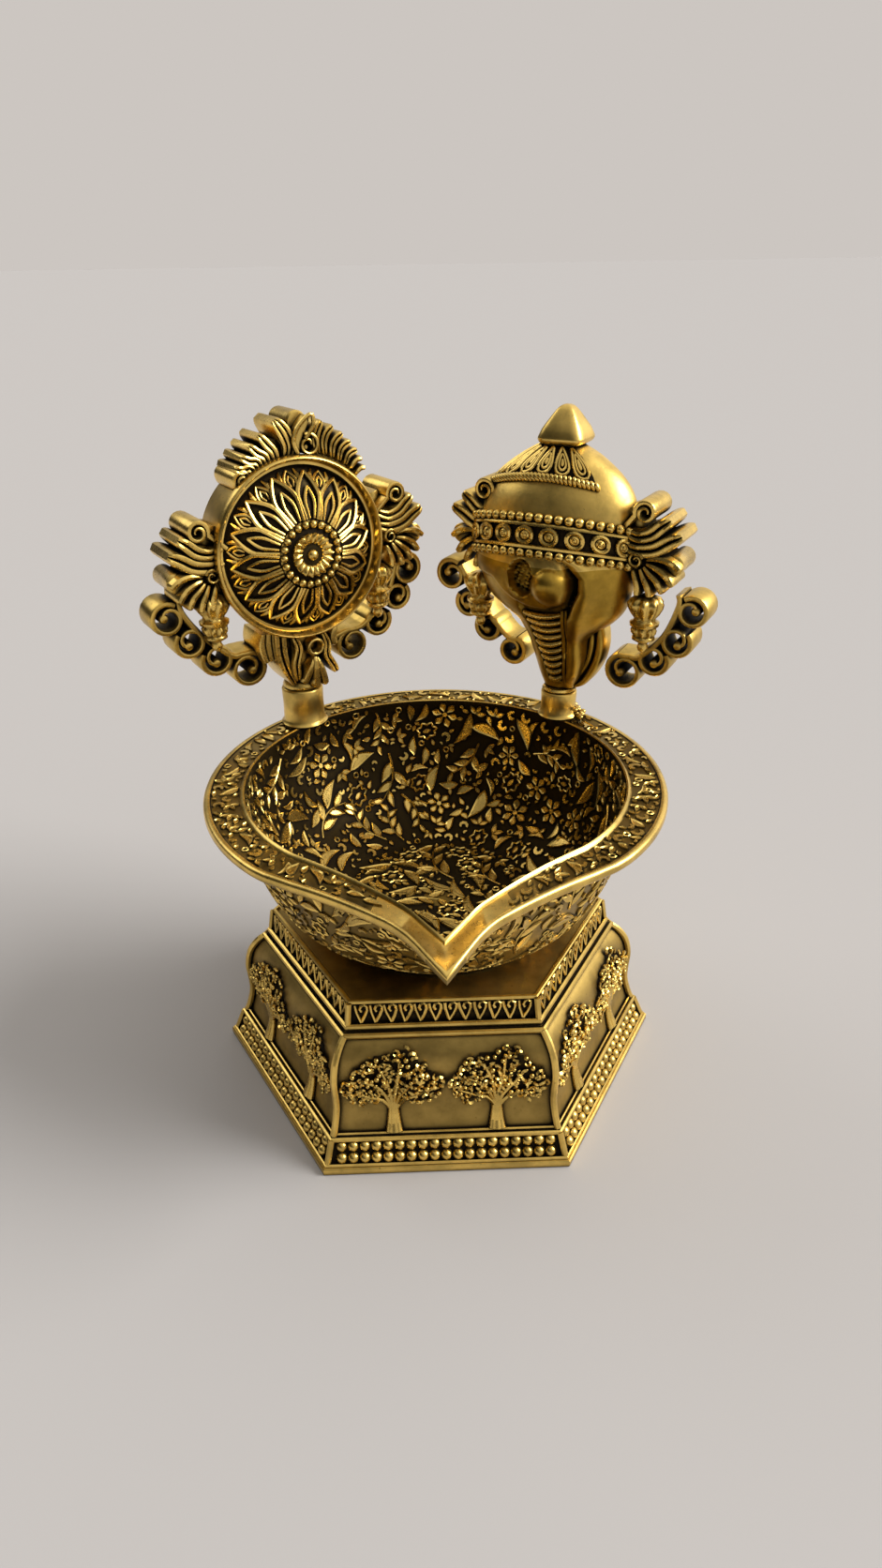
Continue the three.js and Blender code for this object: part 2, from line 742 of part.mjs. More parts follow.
function pendantSolid() {
  const profile = pendantShares.map(([out, up]) => [
    out * pendantBudRadius, pendantTopHeight - (1 - up) * pendantLength,
  ]);
  const geometry = turned(profile, pendantSides);
  geometry.translate(pendantOffset, -pendantDepth, 0);
  return solidOf(geometry);
}

// Disc stem: the pin and its shoulder, and the leaves below the disc that carry it
const discLeafShares = [
  [0.3, 0], [0.42, 0.16], [0.34, 0.3], [0.62, 0.42], [0.72, 0.62], [0.92, 0.66], [1, 0.84],
  [0.86, 1.02], [0.7, 1.3],
];
const discLeafHalfWidth = 9.6;
const shoulderRadius = 4.6;
const shoulderHeight = 1.4;

function discStemSolid() {
  const bottom = seam + shoulderHeight / 2;
  const top = discRise - discRadius;
  const right = discLeafShares.map(([out, up]) => [
    out * discLeafHalfWidth, bottom + up * (top - bottom),
  ]);
  const left = right.map(([x, z]) => [-x, z]).reverse();
  const outline = polygon([...right, ...left]);
  const leaves = solidOf(pressed(outline, faceBack + sprayFront, faceFront - sprayFront));
  return pinSolid(discSocketHeight, shoulderRadius, shoulderHeight).add(leaves.subtract(discClear()));
}

// Conch: the shell is a loft of flat ovals, [up, middle, half width, front, back], all
// as shares of its height and its half width
const conchShares = [
  [0.02, 0.02, 0.11, 0.12, 0.1], [0.08, 0.02, 0.2, 0.2, 0.15], [0.17, -0.01, 0.29, 0.29, 0.2],
  [0.27, -0.05, 0.39, 0.4, 0.28], [0.37, -0.09, 0.58, 0.5, 0.36], [0.48, -0.13, 0.84, 0.6, 0.43],
  [0.58, -0.15, 0.98, 0.64, 0.46], [0.7, -0.15, 1, 0.62, 0.46], [0.81, -0.1, 0.9, 0.54, 0.44],
  [0.89, -0.07, 0.71, 0.42, 0.37], [0.96, -0.05, 0.44, 0.3, 0.3], [1, -0.05, 0.22, 0.2, 0.2],
];
const conchSides = 20;
const craterHalfWidth = 4.9;
const craterHalfHeight = 4.9;
const craterDepth = 2.6;
const craterPlaceShares = [-0.26, 0.53];
const ballRadius = 4.7;
const ballSink = 1.7;
const ballPlaceShares = [0.12, 0.518];
const ballSides = 12;
const ballRings = 7;

function conchLoft(grow) {
  const rings = conchShares.map(([up, middle, wide, front, back]) => {
    const ring = [];
    for (let i = 0; i < conchSides; i += 1) {
      const angle = i * 2 * Math.PI / conchSides;
      const depth = Math.sin(angle) < 0 ? front : back;
      ring.push(new THREE.Vector3(
        middle * conchHalfWidth + (wide * conchHalfWidth + grow) * Math.cos(angle),
        (depth * conchHalfWidth + grow) * Math.sin(angle),
        up * conchRise,
      ));
    }
    return ring;
  });
  return solidOf(loft(rings));
}

// How far the front of the shell stands towards the viewer at a place across and up
function conchFront(x, height) {
  const share = height / conchRise;
  const k = Math.max(1, conchShares.findIndex(([up]) => up >= share));
  const [low, high] = [conchShares[k - 1], conchShares[k]];
  const mix = (share - low[0]) / (high[0] - low[0]);
  const [, middle, wide, front] = low.map((value, i) => (value + mix * (high[i] - value)) * conchHalfWidth);
  const across = (x - middle) / wide;
  return front * Math.sqrt(Math.max(0, 1 - across * across));
}

// The fold of the shell's mouth, from under the band down to the tip
const lipLineShares = [
  [0.4, 0.56], [0.5, 0.51], [0.45, 0.44], [0.35, 0.37], [0.29, 0.3], [0.25, 0.21], [0.17, 0.12],
  [0.12, 0.06],
];
const lipFoldRadius = 1.6;
const lipFoldSteps = 12;
const lipFoldSides = 8;

function lipFoldSolid() {
  const line = new THREE.CatmullRomCurve3(lipLineShares.map(([across, up]) => {
    const [x, z] = [across * conchHalfWidth, up * conchRise];
    return new THREE.Vector3(x, -conchFront(x, z) + lipFoldRadius / 2, z);
  }));
  const section = new THREE.Shape().absarc(0, 0, lipFoldRadius, 0, 2 * Math.PI);
  return solidOf(new THREE.ExtrudeGeometry(section, {
    steps: lipFoldSteps, curveSegments: lipFoldSides / 2, bevelEnabled: false, extrudePath: line,
  }));
}

// The place of the ribbed slope between the shell's hollow and its tip
const ribCount = 10;
const ribSlopeTopShare = 0.413;
const ribSlopeBottomShare = 0.086;
const ribMiddleShare = -0.07;
const ribTopHalfWidth = 4.8;
const ribBottomHalfWidth = 2;
const ribDepth = 1.6;
const stepsPerRib = 3;
const ribX = ribMiddleShare * conchHalfWidth;

function ribTrack(back, extra) {
  const bottom = ribSlopeBottomShare * conchRise - extra;
  const top = ribSlopeTopShare * conchRise + extra;
  const rings = [];
  for (let i = 0; i <= ribCount; i += 1) {
    const share = i / ribCount;
    const height = bottom + share * (top - bottom);
    const half = ribBottomHalfWidth + share * (ribTopHalfWidth - ribBottomHalfWidth) + extra;
    const front = conchFront(ribX, height);
    rings.push([
      new THREE.Vector3(ribX - half, -front + back, height),
      new THREE.Vector3(ribX - half, -front - overrun, height),
      new THREE.Vector3(ribX + half, -front - overrun, height),
      new THREE.Vector3(ribX + half, -front + back, height),
    ]);
  }
  return solidOf(loft(rings));
}

// A ball or a hollow on the front of the shell, at a share of its half width and height
function onFront(placeShares, sink, reach) {
  const x = placeShares[0] * conchHalfWidth;
  const z = placeShares[1] * conchRise;
  const geometry = new THREE.SphereGeometry(1, ballSides, ballRings);
  geometry.scale(...reach);
  geometry.translate(x, -conchFront(x, z) + sink, z);
  return solidOf(geometry);
}

function conchShellSolid() {
  const crater = onFront(craterPlaceShares, 0, [craterHalfWidth, craterDepth, craterHalfHeight]);
  const ball = onFront(ballPlaceShares, ballSink, [ballRadius, ballRadius, ballRadius]);
  const body = conchLoft(0).subtract(crater).add(ball).add(lipFoldSolid());
  return body.subtract(ribTrack(ribDepth + seam, seam));
}

// The ribbed slope: a strip in its track with ten rounded cross ribs
function conchRibsSolid() {
  const bottom = ribSlopeBottomShare * conchRise;
  const top = ribSlopeTopShare * conchRise;
  const rings = [];
  for (let i = 0; i <= ribCount * stepsPerRib; i += 1) {
    const share = i / (ribCount * stepsPerRib);
    const height = bottom + share * (top - bottom);
    const half = ribBottomHalfWidth + share * (ribTopHalfWidth - ribBottomHalfWidth);
    const front = conchFront(ribX, height);
    const crown = ribDepth / 2 * Math.sin(Math.PI * (i % stepsPerRib) / stepsPerRib);
    rings.push([
      new THREE.Vector3(ribX - half, -front + ribDepth, height),
      new THREE.Vector3(ribX - half, -front + ribDepth / 2 - crown, height),
      new THREE.Vector3(ribX + half, -front + ribDepth / 2 - crown, height),
      new THREE.Vector3(ribX + half, -front + ribDepth, height),
    ]);
  }
  return solidOf(loft(rings));
}

// Pieces that lie on the front of the shell: a band and, over the left of its top, a hood
const coverThickness = 1.7;
const archSteps = 6;
const bandHeight = 9;
const bandArch = 4.6;
const bandFootShare = 0.55;
const bandWidthShare = 1.02;
const hoodArch = 3.4;
const hoodFootShare = 0.82;
const hoodWidthShare = 0.67;
const hoodMiddleShare = -0.2;
const conchMiddleShare = -0.15;

// An outline with an arched foot and an arched top between two upright ends
function archShape(middle, halfWidth, foot, arch, top, topArch) {
  const shape = new THREE.Shape();
  shape.moveTo(middle - halfWidth, foot);
  shape.quadraticCurveTo(middle, foot + 2 * arch, middle + halfWidth, foot);
  shape.lineTo(middle + halfWidth, top);
  shape.quadraticCurveTo(middle, top + 2 * topArch, middle - halfWidth, top);
  return shape;
}

function coverSolid(shape) {
  const shell = conchLoft(coverThickness).subtract(conchLoft(seam));
  return shell.intersect(solidOf(pressed(shape, seam, conchHalfWidth, archSteps)));
}

function conchBandSolid() {
  const foot = bandFootShare * conchRise;
  const middle = conchMiddleShare * conchHalfWidth;
  const halfWidth = bandWidthShare * conchHalfWidth;
  return coverSolid(archShape(middle, halfWidth, foot, bandArch, foot + bandHeight, bandArch));
}

// The room that the shell and its band take, which the side pieces keep clear of
function conchClear() {
  const bottom = bandFootShare * conchRise - seam;
  const top = bottom + bandHeight + bandArch + 2 * seam;
  const reach = 2 * conchHalfWidth;
  const zone = pressed(polygon([[-reach, bottom], [reach, bottom], [reach, top], [-reach, top]]), 0, reach);
  return conchLoft(seam).add(conchLoft(coverThickness + seam).intersect(solidOf(zone)));
}

function conchHoodSolid() {
  const foot = hoodFootShare * conchRise;
  const middle = hoodMiddleShare * conchHalfWidth;
  const halfWidth = hoodWidthShare * conchHalfWidth;
  return coverSolid(archShape(middle, halfWidth, foot, hoodArch, conchRise - seam, 0));
}

// Finial: a four-sided rounded pyramid on a short neck
const finialHalfWidth = 5.5;
const finialHeight = 8.6;
const finialShares = [
  [0.62, 0], [0.62, 0.1], [0.94, 0.2], [1, 0.32], [0.82, 0.56], [0.45, 0.86], [0.24, 0.97], [0.1, 1],
];
const finialSides = 8;
const finialSquareShare = 0.8;
const finialMiddleShare = -0.05;

function finialSolid() {
  const bottom = conchRise + seam;
  const middle = finialMiddleShare * conchHalfWidth;
  const rings = finialShares.map(([out, up]) => {
    const ring = [];
    for (let i = 0; i < finialSides; i += 1) {
      const angle = i * 2 * Math.PI / finialSides;
      const square = Math.abs(Math.cos(angle)) + Math.abs(Math.sin(angle));
      const corner = 1 - finialSquareShare + finialSquareShare * Math.SQRT2 / square;
      const radius = out * finialHalfWidth * corner;
      ring.push(new THREE.Vector3(
        middle + radius * Math.cos(angle), radius * Math.sin(angle), bottom + up * finialHeight,
      ));
    }
    return ring;
  });
  return solidOf(loft(rings));
}

function mirrored(solid) {
  return solid.mirror([1, 0, 0]);
}

// Assembly
const discFlameOffset = 20.6;
const discFlameFootHeight = 29.1;
const discFlameReach = 13.4;
const discFlameHeight = 18.4;
const discFlameRollOffset = 25.3;
const conchFlameOffset = 17.6;
const conchFlameFootHeight = 31.7;
const conchFlameReach = 14.2;
const conchFlameHeight = 19.4;
const conchFlameRollOffset = 21.6;
const pendantOffset = 21.8;
const pendantTopHeight = 28.6;
const pendantDepth = 2.2;

const discFlame = {
  x: discFlameOffset, z: discFlameFootHeight, reach: discFlameReach, height: discFlameHeight,
  rollX: discFlameRollOffset,
};
const conchFlame = {
  x: conchFlameOffset, z: conchFlameFootHeight, reach: conchFlameReach, height: conchFlameHeight,
  rollX: conchFlameRollOffset,
};

function emblem(pieces, x, turn, socketHeight) {
  const group = new THREE.Group();
  for (const [name, solid, material] of pieces) group.add(mesh(name, geometryOf(solid), material));
  group.position.set(x, postY, socketBottom + socketHeight);
  group.rotation.z = turn;
  return group;
}

const lamp = new THREE.Group();
lamp.add(mesh('plinth', geometryOf(plinthSolid()), brass));
lamp.add(mesh('bowl', geometryOf(bowlSolid()), darkBrass));
lamp.add(mesh('bowl_stud', studGeometry(), steel));
lamp.add(mesh('stud_washer', geometryOf(annulus(
  studRadius + threadClearance, washerRadius, washerTop - washerThickness, washerTop, roundSides,
)), steel));
lamp.add(mesh('stud_nut', geometryOf(annulus(
  studRadius + threadClearance, nutRadius, nutTop - nutHeight, nutTop, plinthSides,
)), steel));

for (const [name, side, radius, height] of [
  ['disc_socket', -1, discSocketRadius, discSocketHeight],
  ['conch_socket', 1, conchSocketRadius, conchSocketHeight],
]) {
  const socket = mesh(name, geometryOf(socketSolid(radius, height)), brass);
  socket.position.set(side * postX, postY, 0);
  lamp.add(socket);
}

const flame = flameSolid(discFlame, discClear());
const spray = spraySolid(discSpray).subtract(discClear());
const drop = pendantSolid();
lamp.add(emblem([
  ['disc_stem', discStemSolid(), brass],
  ['disc_drum', drumSolid(), brass],
  ['disc_face_ring', faceRingSolid(), brass],
  ['lotus_medallion', medallionSolid(), darkBrass],
  ['lotus_hub', hubSolid(), brass],
  ['disc_crest', crestSolid(), brass],
  ['disc_flames_right', flame, brass],
  ['disc_flames_left', mirrored(flame), brass],
  ['disc_scrolls_right', spray, brass],
  ['disc_scrolls_left', mirrored(spray), brass],
  ['disc_pendant_right', drop, brass],
  ['disc_pendant_left', mirrored(drop), brass],
], -postX, toeIn, discSocketHeight));

const shellClear = conchClear();
const conchFlameRight = flameSolid(conchFlame, shellClear);
const conchFlameLeft = flameSolid(conchFlame, mirrored(shellClear));
const shellSpray = spraySolid(conchSpray);
lamp.add(emblem([
  ['conch_stem', pinSolid(conchSocketHeight, conchSocketRadius - seam, seam), brass],
  ['conch_shell', conchShellSolid(), brass],
  ['conch_ribs', conchRibsSolid(), brass],
  ['conch_band', conchBandSolid(), darkBrass],
  ['conch_hood', conchHoodSolid(), brass],
  ['conch_finial', finialSolid(), brass],
  ['conch_flames_right', conchFlameRight, brass],
  ['conch_flames_left', mirrored(conchFlameLeft), brass],
  ['conch_scrolls_right', shellSpray.subtract(shellClear), brass],
  ['conch_scrolls_left', mirrored(shellSpray).subtract(shellClear), brass],
  ['conch_pendant_right', drop, brass],
  ['conch_pendant_left', mirrored(drop), brass],
], postX, -toeIn, conchSocketHeight));

// The origin is at the middle of the lamp's underside
lamp.updateMatrixWorld(true);
const box = new THREE.Box3().setFromObject(lamp, true);
lamp.position.set(-(box.min.x + box.max.x) / 2, -(box.min.y + box.max.y) / 2, -box.min.z);
lamp.updateMatrixWorld(true);

export default lamp;
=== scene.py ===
import itertools
import json
import math
import random

import bmesh
import bpy
from mathutils import Matrix, Vector


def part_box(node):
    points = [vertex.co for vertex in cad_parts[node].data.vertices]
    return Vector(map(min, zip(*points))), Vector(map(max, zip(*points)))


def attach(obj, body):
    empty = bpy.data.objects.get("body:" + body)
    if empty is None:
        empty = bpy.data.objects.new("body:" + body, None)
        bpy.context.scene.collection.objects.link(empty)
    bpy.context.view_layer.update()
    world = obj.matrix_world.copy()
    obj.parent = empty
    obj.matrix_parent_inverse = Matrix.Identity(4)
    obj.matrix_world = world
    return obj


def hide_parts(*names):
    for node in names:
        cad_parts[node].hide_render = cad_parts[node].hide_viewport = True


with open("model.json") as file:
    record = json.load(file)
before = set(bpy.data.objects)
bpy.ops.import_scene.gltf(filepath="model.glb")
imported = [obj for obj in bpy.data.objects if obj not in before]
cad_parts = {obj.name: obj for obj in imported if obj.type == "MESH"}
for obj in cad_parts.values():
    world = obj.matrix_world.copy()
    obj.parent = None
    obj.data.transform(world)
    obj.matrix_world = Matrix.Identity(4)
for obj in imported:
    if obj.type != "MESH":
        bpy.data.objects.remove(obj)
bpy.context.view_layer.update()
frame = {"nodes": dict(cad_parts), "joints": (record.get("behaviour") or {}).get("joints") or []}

# Studio: a pale warm-grey floor without end under air of the same tone, a large soft light
# on the right and a weaker one behind on the left. The air is bright at the right and back
# and dim at the left and in front. The camera looks down at the lip from close in front.
mm = 0.001
scene = bpy.context.scene
scene.view_settings.view_transform = "Standard"

floor_colour = (0.5075, 0.485, 0.47, 1)
floor_reach = 30
background_colour = (0.604, 0.565, 0.533, 1)
air_colour = (1, 0.965, 0.92, 1)
bright_air = 0.88
dim_air = 0.03
bright_side = (0.74, 0.22, 0.6)
dim_until = -0.42
bright_from = 0.9

bm = bmesh.new()
bmesh.ops.create_grid(bm, x_segments=1, y_segments=1, size=floor_reach)
mesh = bpy.data.meshes.new("floor")
bm.to_mesh(mesh)
bm.free()
floor = bpy.data.objects.new("floor", mesh)
scene.collection.objects.link(floor)

paper = bpy.data.materials.new("floor_paper")
paper.use_nodes = True
paper_shader = paper.node_tree.nodes["Principled BSDF"]
paper_shader.inputs["Base Color"].default_value = floor_colour
paper_shader.inputs["Roughness"].default_value = 1
paper_shader.inputs["Specular IOR Level"].default_value = 0
mesh.materials.append(paper)

world = bpy.data.worlds.new("studio_air")
scene.world = world
world.use_nodes = True
air = world.node_tree
light_air = air.nodes["Background"]
light_air.inputs["Color"].default_value = air_colour
seen_air = air.nodes.new("ShaderNodeBackground")
seen_air.inputs["Color"].default_value = background_colour
direction = air.nodes.new("ShaderNodeTexCoord")
side_share = air.nodes.new("ShaderNodeVectorMath")
side_share.operation = "DOT_PRODUCT"
side_share.inputs[1].default_value = bright_side
air.links.new(direction.outputs["Generated"], side_share.inputs[0])
dimming = air.nodes.new("ShaderNodeMapRange")
dimming.interpolation_type = "SMOOTHSTEP"
air.links.new(side_share.outputs["Value"], dimming.inputs["Value"])
dimming.inputs["From Min"].default_value = dim_until
dimming.inputs["From Max"].default_value = bright_from
dimming.inputs["To Min"].default_value = dim_air
dimming.inputs["To Max"].default_value = bright_air
air.links.new(dimming.outputs["Result"], light_air.inputs["Strength"])
ray = air.nodes.new("ShaderNodeLightPath")
seen = air.nodes.new("ShaderNodeMixShader")
air.links.new(ray.outputs["Is Camera Ray"], seen.inputs["Fac"])
air.links.new(light_air.outputs["Background"], seen.inputs[1])
air.links.new(seen_air.outputs["Background"], seen.inputs[2])
air.links.new(seen.outputs["Shader"], air.nodes["World Output"].inputs["Surface"])


def soft_light(name, toward, strength, width):
    """A far, wide light that shines from the given direction; its width is an angle."""
    lamp = bpy.data.lights.new(name, "SUN")
    lamp.energy = strength
    lamp.angle = math.radians(width)
    light = bpy.data.objects.new(name, lamp)
    light.rotation_euler = Vector(toward).to_track_quat("Z", "Y").to_euler()
    scene.collection.objects.link(light)


soft_light("right_light", (0.88, -0.05, 0.56), strength=3.3, width=36)
soft_light("left_light", (-0.75, 0.45, 0.7), strength=0.4, width=34)

camera_aim = Vector((0.00121, 0.0063, 0.07282))
camera_distance = 0.2279
camera_tilt = math.radians(28.18)
camera_side = math.radians(-1.45)
camera_roll = math.radians(-0.91)
photo_height_px = 1672
photo_focus_px = 1050
camera_data = bpy.data.cameras.new("camera")
camera_data.sensor_fit = "AUTO"
camera_data.lens = camera_data.sensor_width * photo_focus_px / photo_height_px
camera_data.clip_start = 0.01
camera = bpy.data.objects.new("camera", camera_data)
camera.matrix_world = (
    Matrix.Translation(camera_aim)
    @ Matrix.Rotation(camera_side, 4, "Z")
    @ Matrix.Rotation(math.pi / 2 - camera_tilt, 4, "X")
    @ Matrix.Translation((0, 0, camera_distance))
    @ Matrix.Rotation(camera_roll, 4, "Z")
)
scene.collection.objects.link(camera)
scene.camera = camera

# Plinth: one hollow brass casting with six bowed sides. A flange carries two rows of beads,
# each side has two trees in relief between its corner ribs, and a pierced-looking frieze
# runs round the collar under the flat top. Blackened, then rubbed bright on the high places.
plinth_low, plinth_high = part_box("plinth")
plinth_middle = Vector(((plinth_low.x + plinth_high.x) / 2, (plinth_low.y + plinth_high.y) / 2, 0))
flange_radius = (plinth_high.x - plinth_low.x) / 2
plinth_height = plinth_high.z
plinth_sides = 6
side_turn = 2 * math.pi / plinth_sides
plinth_wall = 2.6 * mm
weld = 0.001 * mm
flange_height = 1.8 * mm
band_foot = 53.8 * mm
band_top = 51 * mm
band_top_height = 6.8 * mm
panel_foot = 50.2 * mm
panel_foot_height = 7.9 * mm
panel_head = 43.6 * mm
panel_head_height = 31.3 * mm
collar_foot = 41.8 * mm
collar_foot_height = 33.4 * mm
collar_head = 40.9 * mm
plate_sink = 0.5 * mm
plate_thickness = 3 * mm
plate_top = plinth_height - plate_sink
stud_hole = 3.7 * mm
flange_inner = flange_radius - plinth_wall * 2
panel_wall = 3 * mm
edge_round = 0.2 * mm
bead_slope_foot = band_foot - 0.6 * mm
bead_slope_head = band_top - 0.4 * mm
panel_sink = 0.7 * mm
frieze_sink = 0.6 * mm
frieze_high = plinth_height - 1 * mm
head_radius = collar_head - 0.9 * mm
upward = Vector((0, 0, 1))
panel_shares = [
    (1, 0), (0.86, 0.1), (0.7, 0.28), (0.71, 0.46), (0.74, 0.62), (0.6, 0.8), (0.3, 0.93), (0, 1),
]


def smooth_through(points, steps):
    """Points on a smooth curve through the given ones, with so many steps between each two."""
    curve = []
    for i in range(len(points) - 1):
        before = Vector(points[max(i - 1, 0)])
        start, end = Vector(points[i]), Vector(points[i + 1])
        after = Vector(points[min(i + 2, len(points) - 1)])
        for step in range(steps):
            t = step / steps
            curve.append(0.5 * (
                2 * start + (end - before) * t
                + (2 * before - 5 * start + 4 * end - after) * t * t
                + (3 * start - before - 3 * end + after) * t * t * t
            ))
    curve.append(Vector(points[-1]))
    return curve


def fit_share(points, x):
    """The value at x of the straight pieces through (x, value) points."""
    for (x0, y0), (x1, y1) in zip(points, points[1:]):
        if x <= x1:
            return y0 + (y1 - y0) * (x - x0) / (x1 - x0)
    return points[-1][1]


panel_line = [
    (panel_head + out * (panel_foot - panel_head),
     panel_foot_height + up * (panel_head_height - panel_foot_height))
    for out, up in smooth_through(panel_shares, 3)
]


def spun(bm, profile, steps, middle):
    """A revolve round +Z of a line of (radius, height) points, closed where the line closes."""
    verts = [bm.verts.new((radius, 0, height)) for radius, height in profile]
    edges = [bm.edges.new(pair) for pair in zip(verts, verts[1:])]
    bmesh.ops.spin(
        bm, geom=verts + edges, cent=(0, 0, 0), axis=(0, 0, 1), angle=2 * math.pi,
        steps=steps, use_merge=True,
    )
    bmesh.ops.remove_doubles(bm, verts=bm.verts, dist=weld)
    bmesh.ops.translate(bm, verts=bm.verts, vec=middle)
    bmesh.ops.recalc_face_normals(bm, faces=bm.faces)


def shown(name, bm, body, finishes, cad=(), crease=40):
    """Makes the finished piece, smooth but for its sharp creases, and hands it to its body."""
    bmesh.ops.remove_doubles(bm, verts=bm.verts, dist=weld / 2)
    bmesh.ops.recalc_face_normals(bm, faces=bm.faces)
    mesh = bpy.data.meshes.new(name)
    bm.to_mesh(mesh)
    bm.free()
    for finish in finishes:
        mesh.materials.append(finish)
    mesh.polygons.foreach_set("use_smooth", [True] * len(mesh.polygons))
    mesh.set_sharp_from_angle(angle=math.radians(crease))
    piece = bpy.data.objects.new(name, mesh)
    scene.collection.objects.link(piece)
    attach(piece, body)
    if cad:
        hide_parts(*cad)


gold = (0.95, 0.65, 0.17, 1)
dull_gold = (0.46, 0.31, 0.085, 1)
dark_gold = (0.11, 0.075, 0.022, 1)
soot = (0.01, 0.006, 0.0025, 1)
tarnish_share = 0.62
speck_share = 0.4
soot_metal = 0.4
soot_fade = 0.35
sheen = 0.12
grain_depth = 0.06 * mm


def old_brass(name, metal, reach, clear, shine, dull, grain, cloudy):
    """Brass that was blackened and rubbed: soot where the surface is closed in within the
    given reach, metal where it lies open, with cloudy tarnish, dark specks and fine grain."""
    finish = bpy.data.materials.new(name)
    finish.use_nodes = True
    tree = finish.node_tree
    shader = tree.nodes["Principled BSDF"]
    where = tree.nodes.new("ShaderNodeTexCoord")

    def noise(scale, detail, rough):
        texture = tree.nodes.new("ShaderNodeTexNoise")
        texture.inputs["Scale"].default_value = scale
        texture.inputs["Detail"].default_value = detail
        texture.inputs["Roughness"].default_value = rough
        tree.links.new(where.outputs["Object"], texture.inputs["Vector"])
        return texture.outputs["Fac"]

    def blend(factor, low, high, kind="FLOAT"):
        mixer = tree.nodes.new("ShaderNodeMix")
        mixer.data_type = kind
        ends = (mixer.inputs[6], mixer.inputs[7]) if kind == "RGBA" else (mixer.inputs[2], mixer.inputs[3])
        tree.links.new(factor, mixer.inputs[0])
        for value, end in zip((low, high), ends):
            if hasattr(value, "is_linked"):
                tree.links.new(value, end)
            else:
                end.default_value = value
        return mixer.outputs[2] if kind == "RGBA" else mixer.outputs[0]

    def stretch(value, low, high):
        ramp = tree.nodes.new("ShaderNodeMapRange")
        ramp.interpolation_type = "SMOOTHSTEP"
        ramp.inputs["From Min"].default_value = low
        ramp.inputs["From Max"].default_value = high
        tree.links.new(value, ramp.inputs["Value"])
        return ramp.outputs["Result"]

    openness = tree.nodes.new("ShaderNodeAmbientOcclusion")
    openness.samples = 8
    openness.inputs["Distance"].default_value = reach
    clouds = noise(scale=130, detail=4, rough=0.6)
    specks = noise(scale=1100, detail=3, rough=0.65)
    added = tree.nodes.new("ShaderNodeMath")
    added.operation = "MULTIPLY_ADD"
    tree.links.new(clouds, added.inputs[0])
    added.inputs[1].default_value = cloudy
    tree.links.new(openness.outputs["AO"], added.inputs[2])
    rubbed = stretch(added.outputs[0], clear - soot_fade + cloudy / 2, clear + cloudy / 2)

    tarnished = tuple(tarnish_share * c for c in metal[:3]) + (1,)
    speckled = tuple(speck_share * c for c in metal[:3]) + (1,)
    open_metal = blend(stretch(clouds, 0.35, 0.7), metal, tarnished, "RGBA")
    open_metal = blend(stretch(specks, 0.62, 0.8), open_metal, speckled, "RGBA")
    tree.links.new(blend(rubbed, soot, open_metal, "RGBA"), shader.inputs["Base Color"])
    tree.links.new(blend(rubbed, soot_metal, 1.0), shader.inputs["Metallic"])
    shader.inputs["Specular IOR Level"].default_value = sheen
    worn = blend(specks, shine - 0.06, shine + 0.1)
    tree.links.new(blend(rubbed, dull, worn), shader.inputs["Roughness"])
    bump = tree.nodes.new("ShaderNodeBump")
    bump.inputs["Strength"].default_value = grain
    bump.inputs["Distance"].default_value = grain_depth
    patches = stretch(noise(scale=420, detail=3, rough=0.6), 0.3, 0.7)
    pits = noise(scale=700, detail=4, rough=0.7)
    tree.links.new(blend(patches, specks, pits), bump.inputs["Height"])
    tree.links.new(bump.outputs["Normal"], shader.inputs["Normal"])
    return finish


panel_brass = old_brass(
    "panel_brass", dull_gold, reach=2.4 * mm, clear=0.95, shine=0.4, dull=0.6, grain=0.5, cloudy=0.3,
)
cast_brass = old_brass(
    "cast_brass", gold, reach=1.8 * mm, clear=0.84, shine=0.3, dull=0.6, grain=0.35, cloudy=0.25,
)
raised_brass = old_brass(
    "raised_brass", gold, reach=1.1 * mm, clear=0.76, shine=0.25, dull=0.55, grain=0.25, cloudy=0.15,
)
black_brass = old_brass(
    "black_brass", dark_gold, reach=1.4 * mm, clear=1.1, shine=0.4, dull=0.6, grain=0.6, cloudy=0.35,
)
wire_brass = old_brass(
    "wire_brass", gold, reach=0.6 * mm, clear=0.62, shine=0.25, dull=0.55, grain=0.25, cloudy=0.15,
)


def join(whole, part):
    """Adds the finished part to the whole piece."""
    mesh = bpy.data.meshes.new("part")
    part.to_mesh(mesh)
    part.free()
    whole.from_mesh(mesh)
    bpy.data.meshes.remove(mesh)


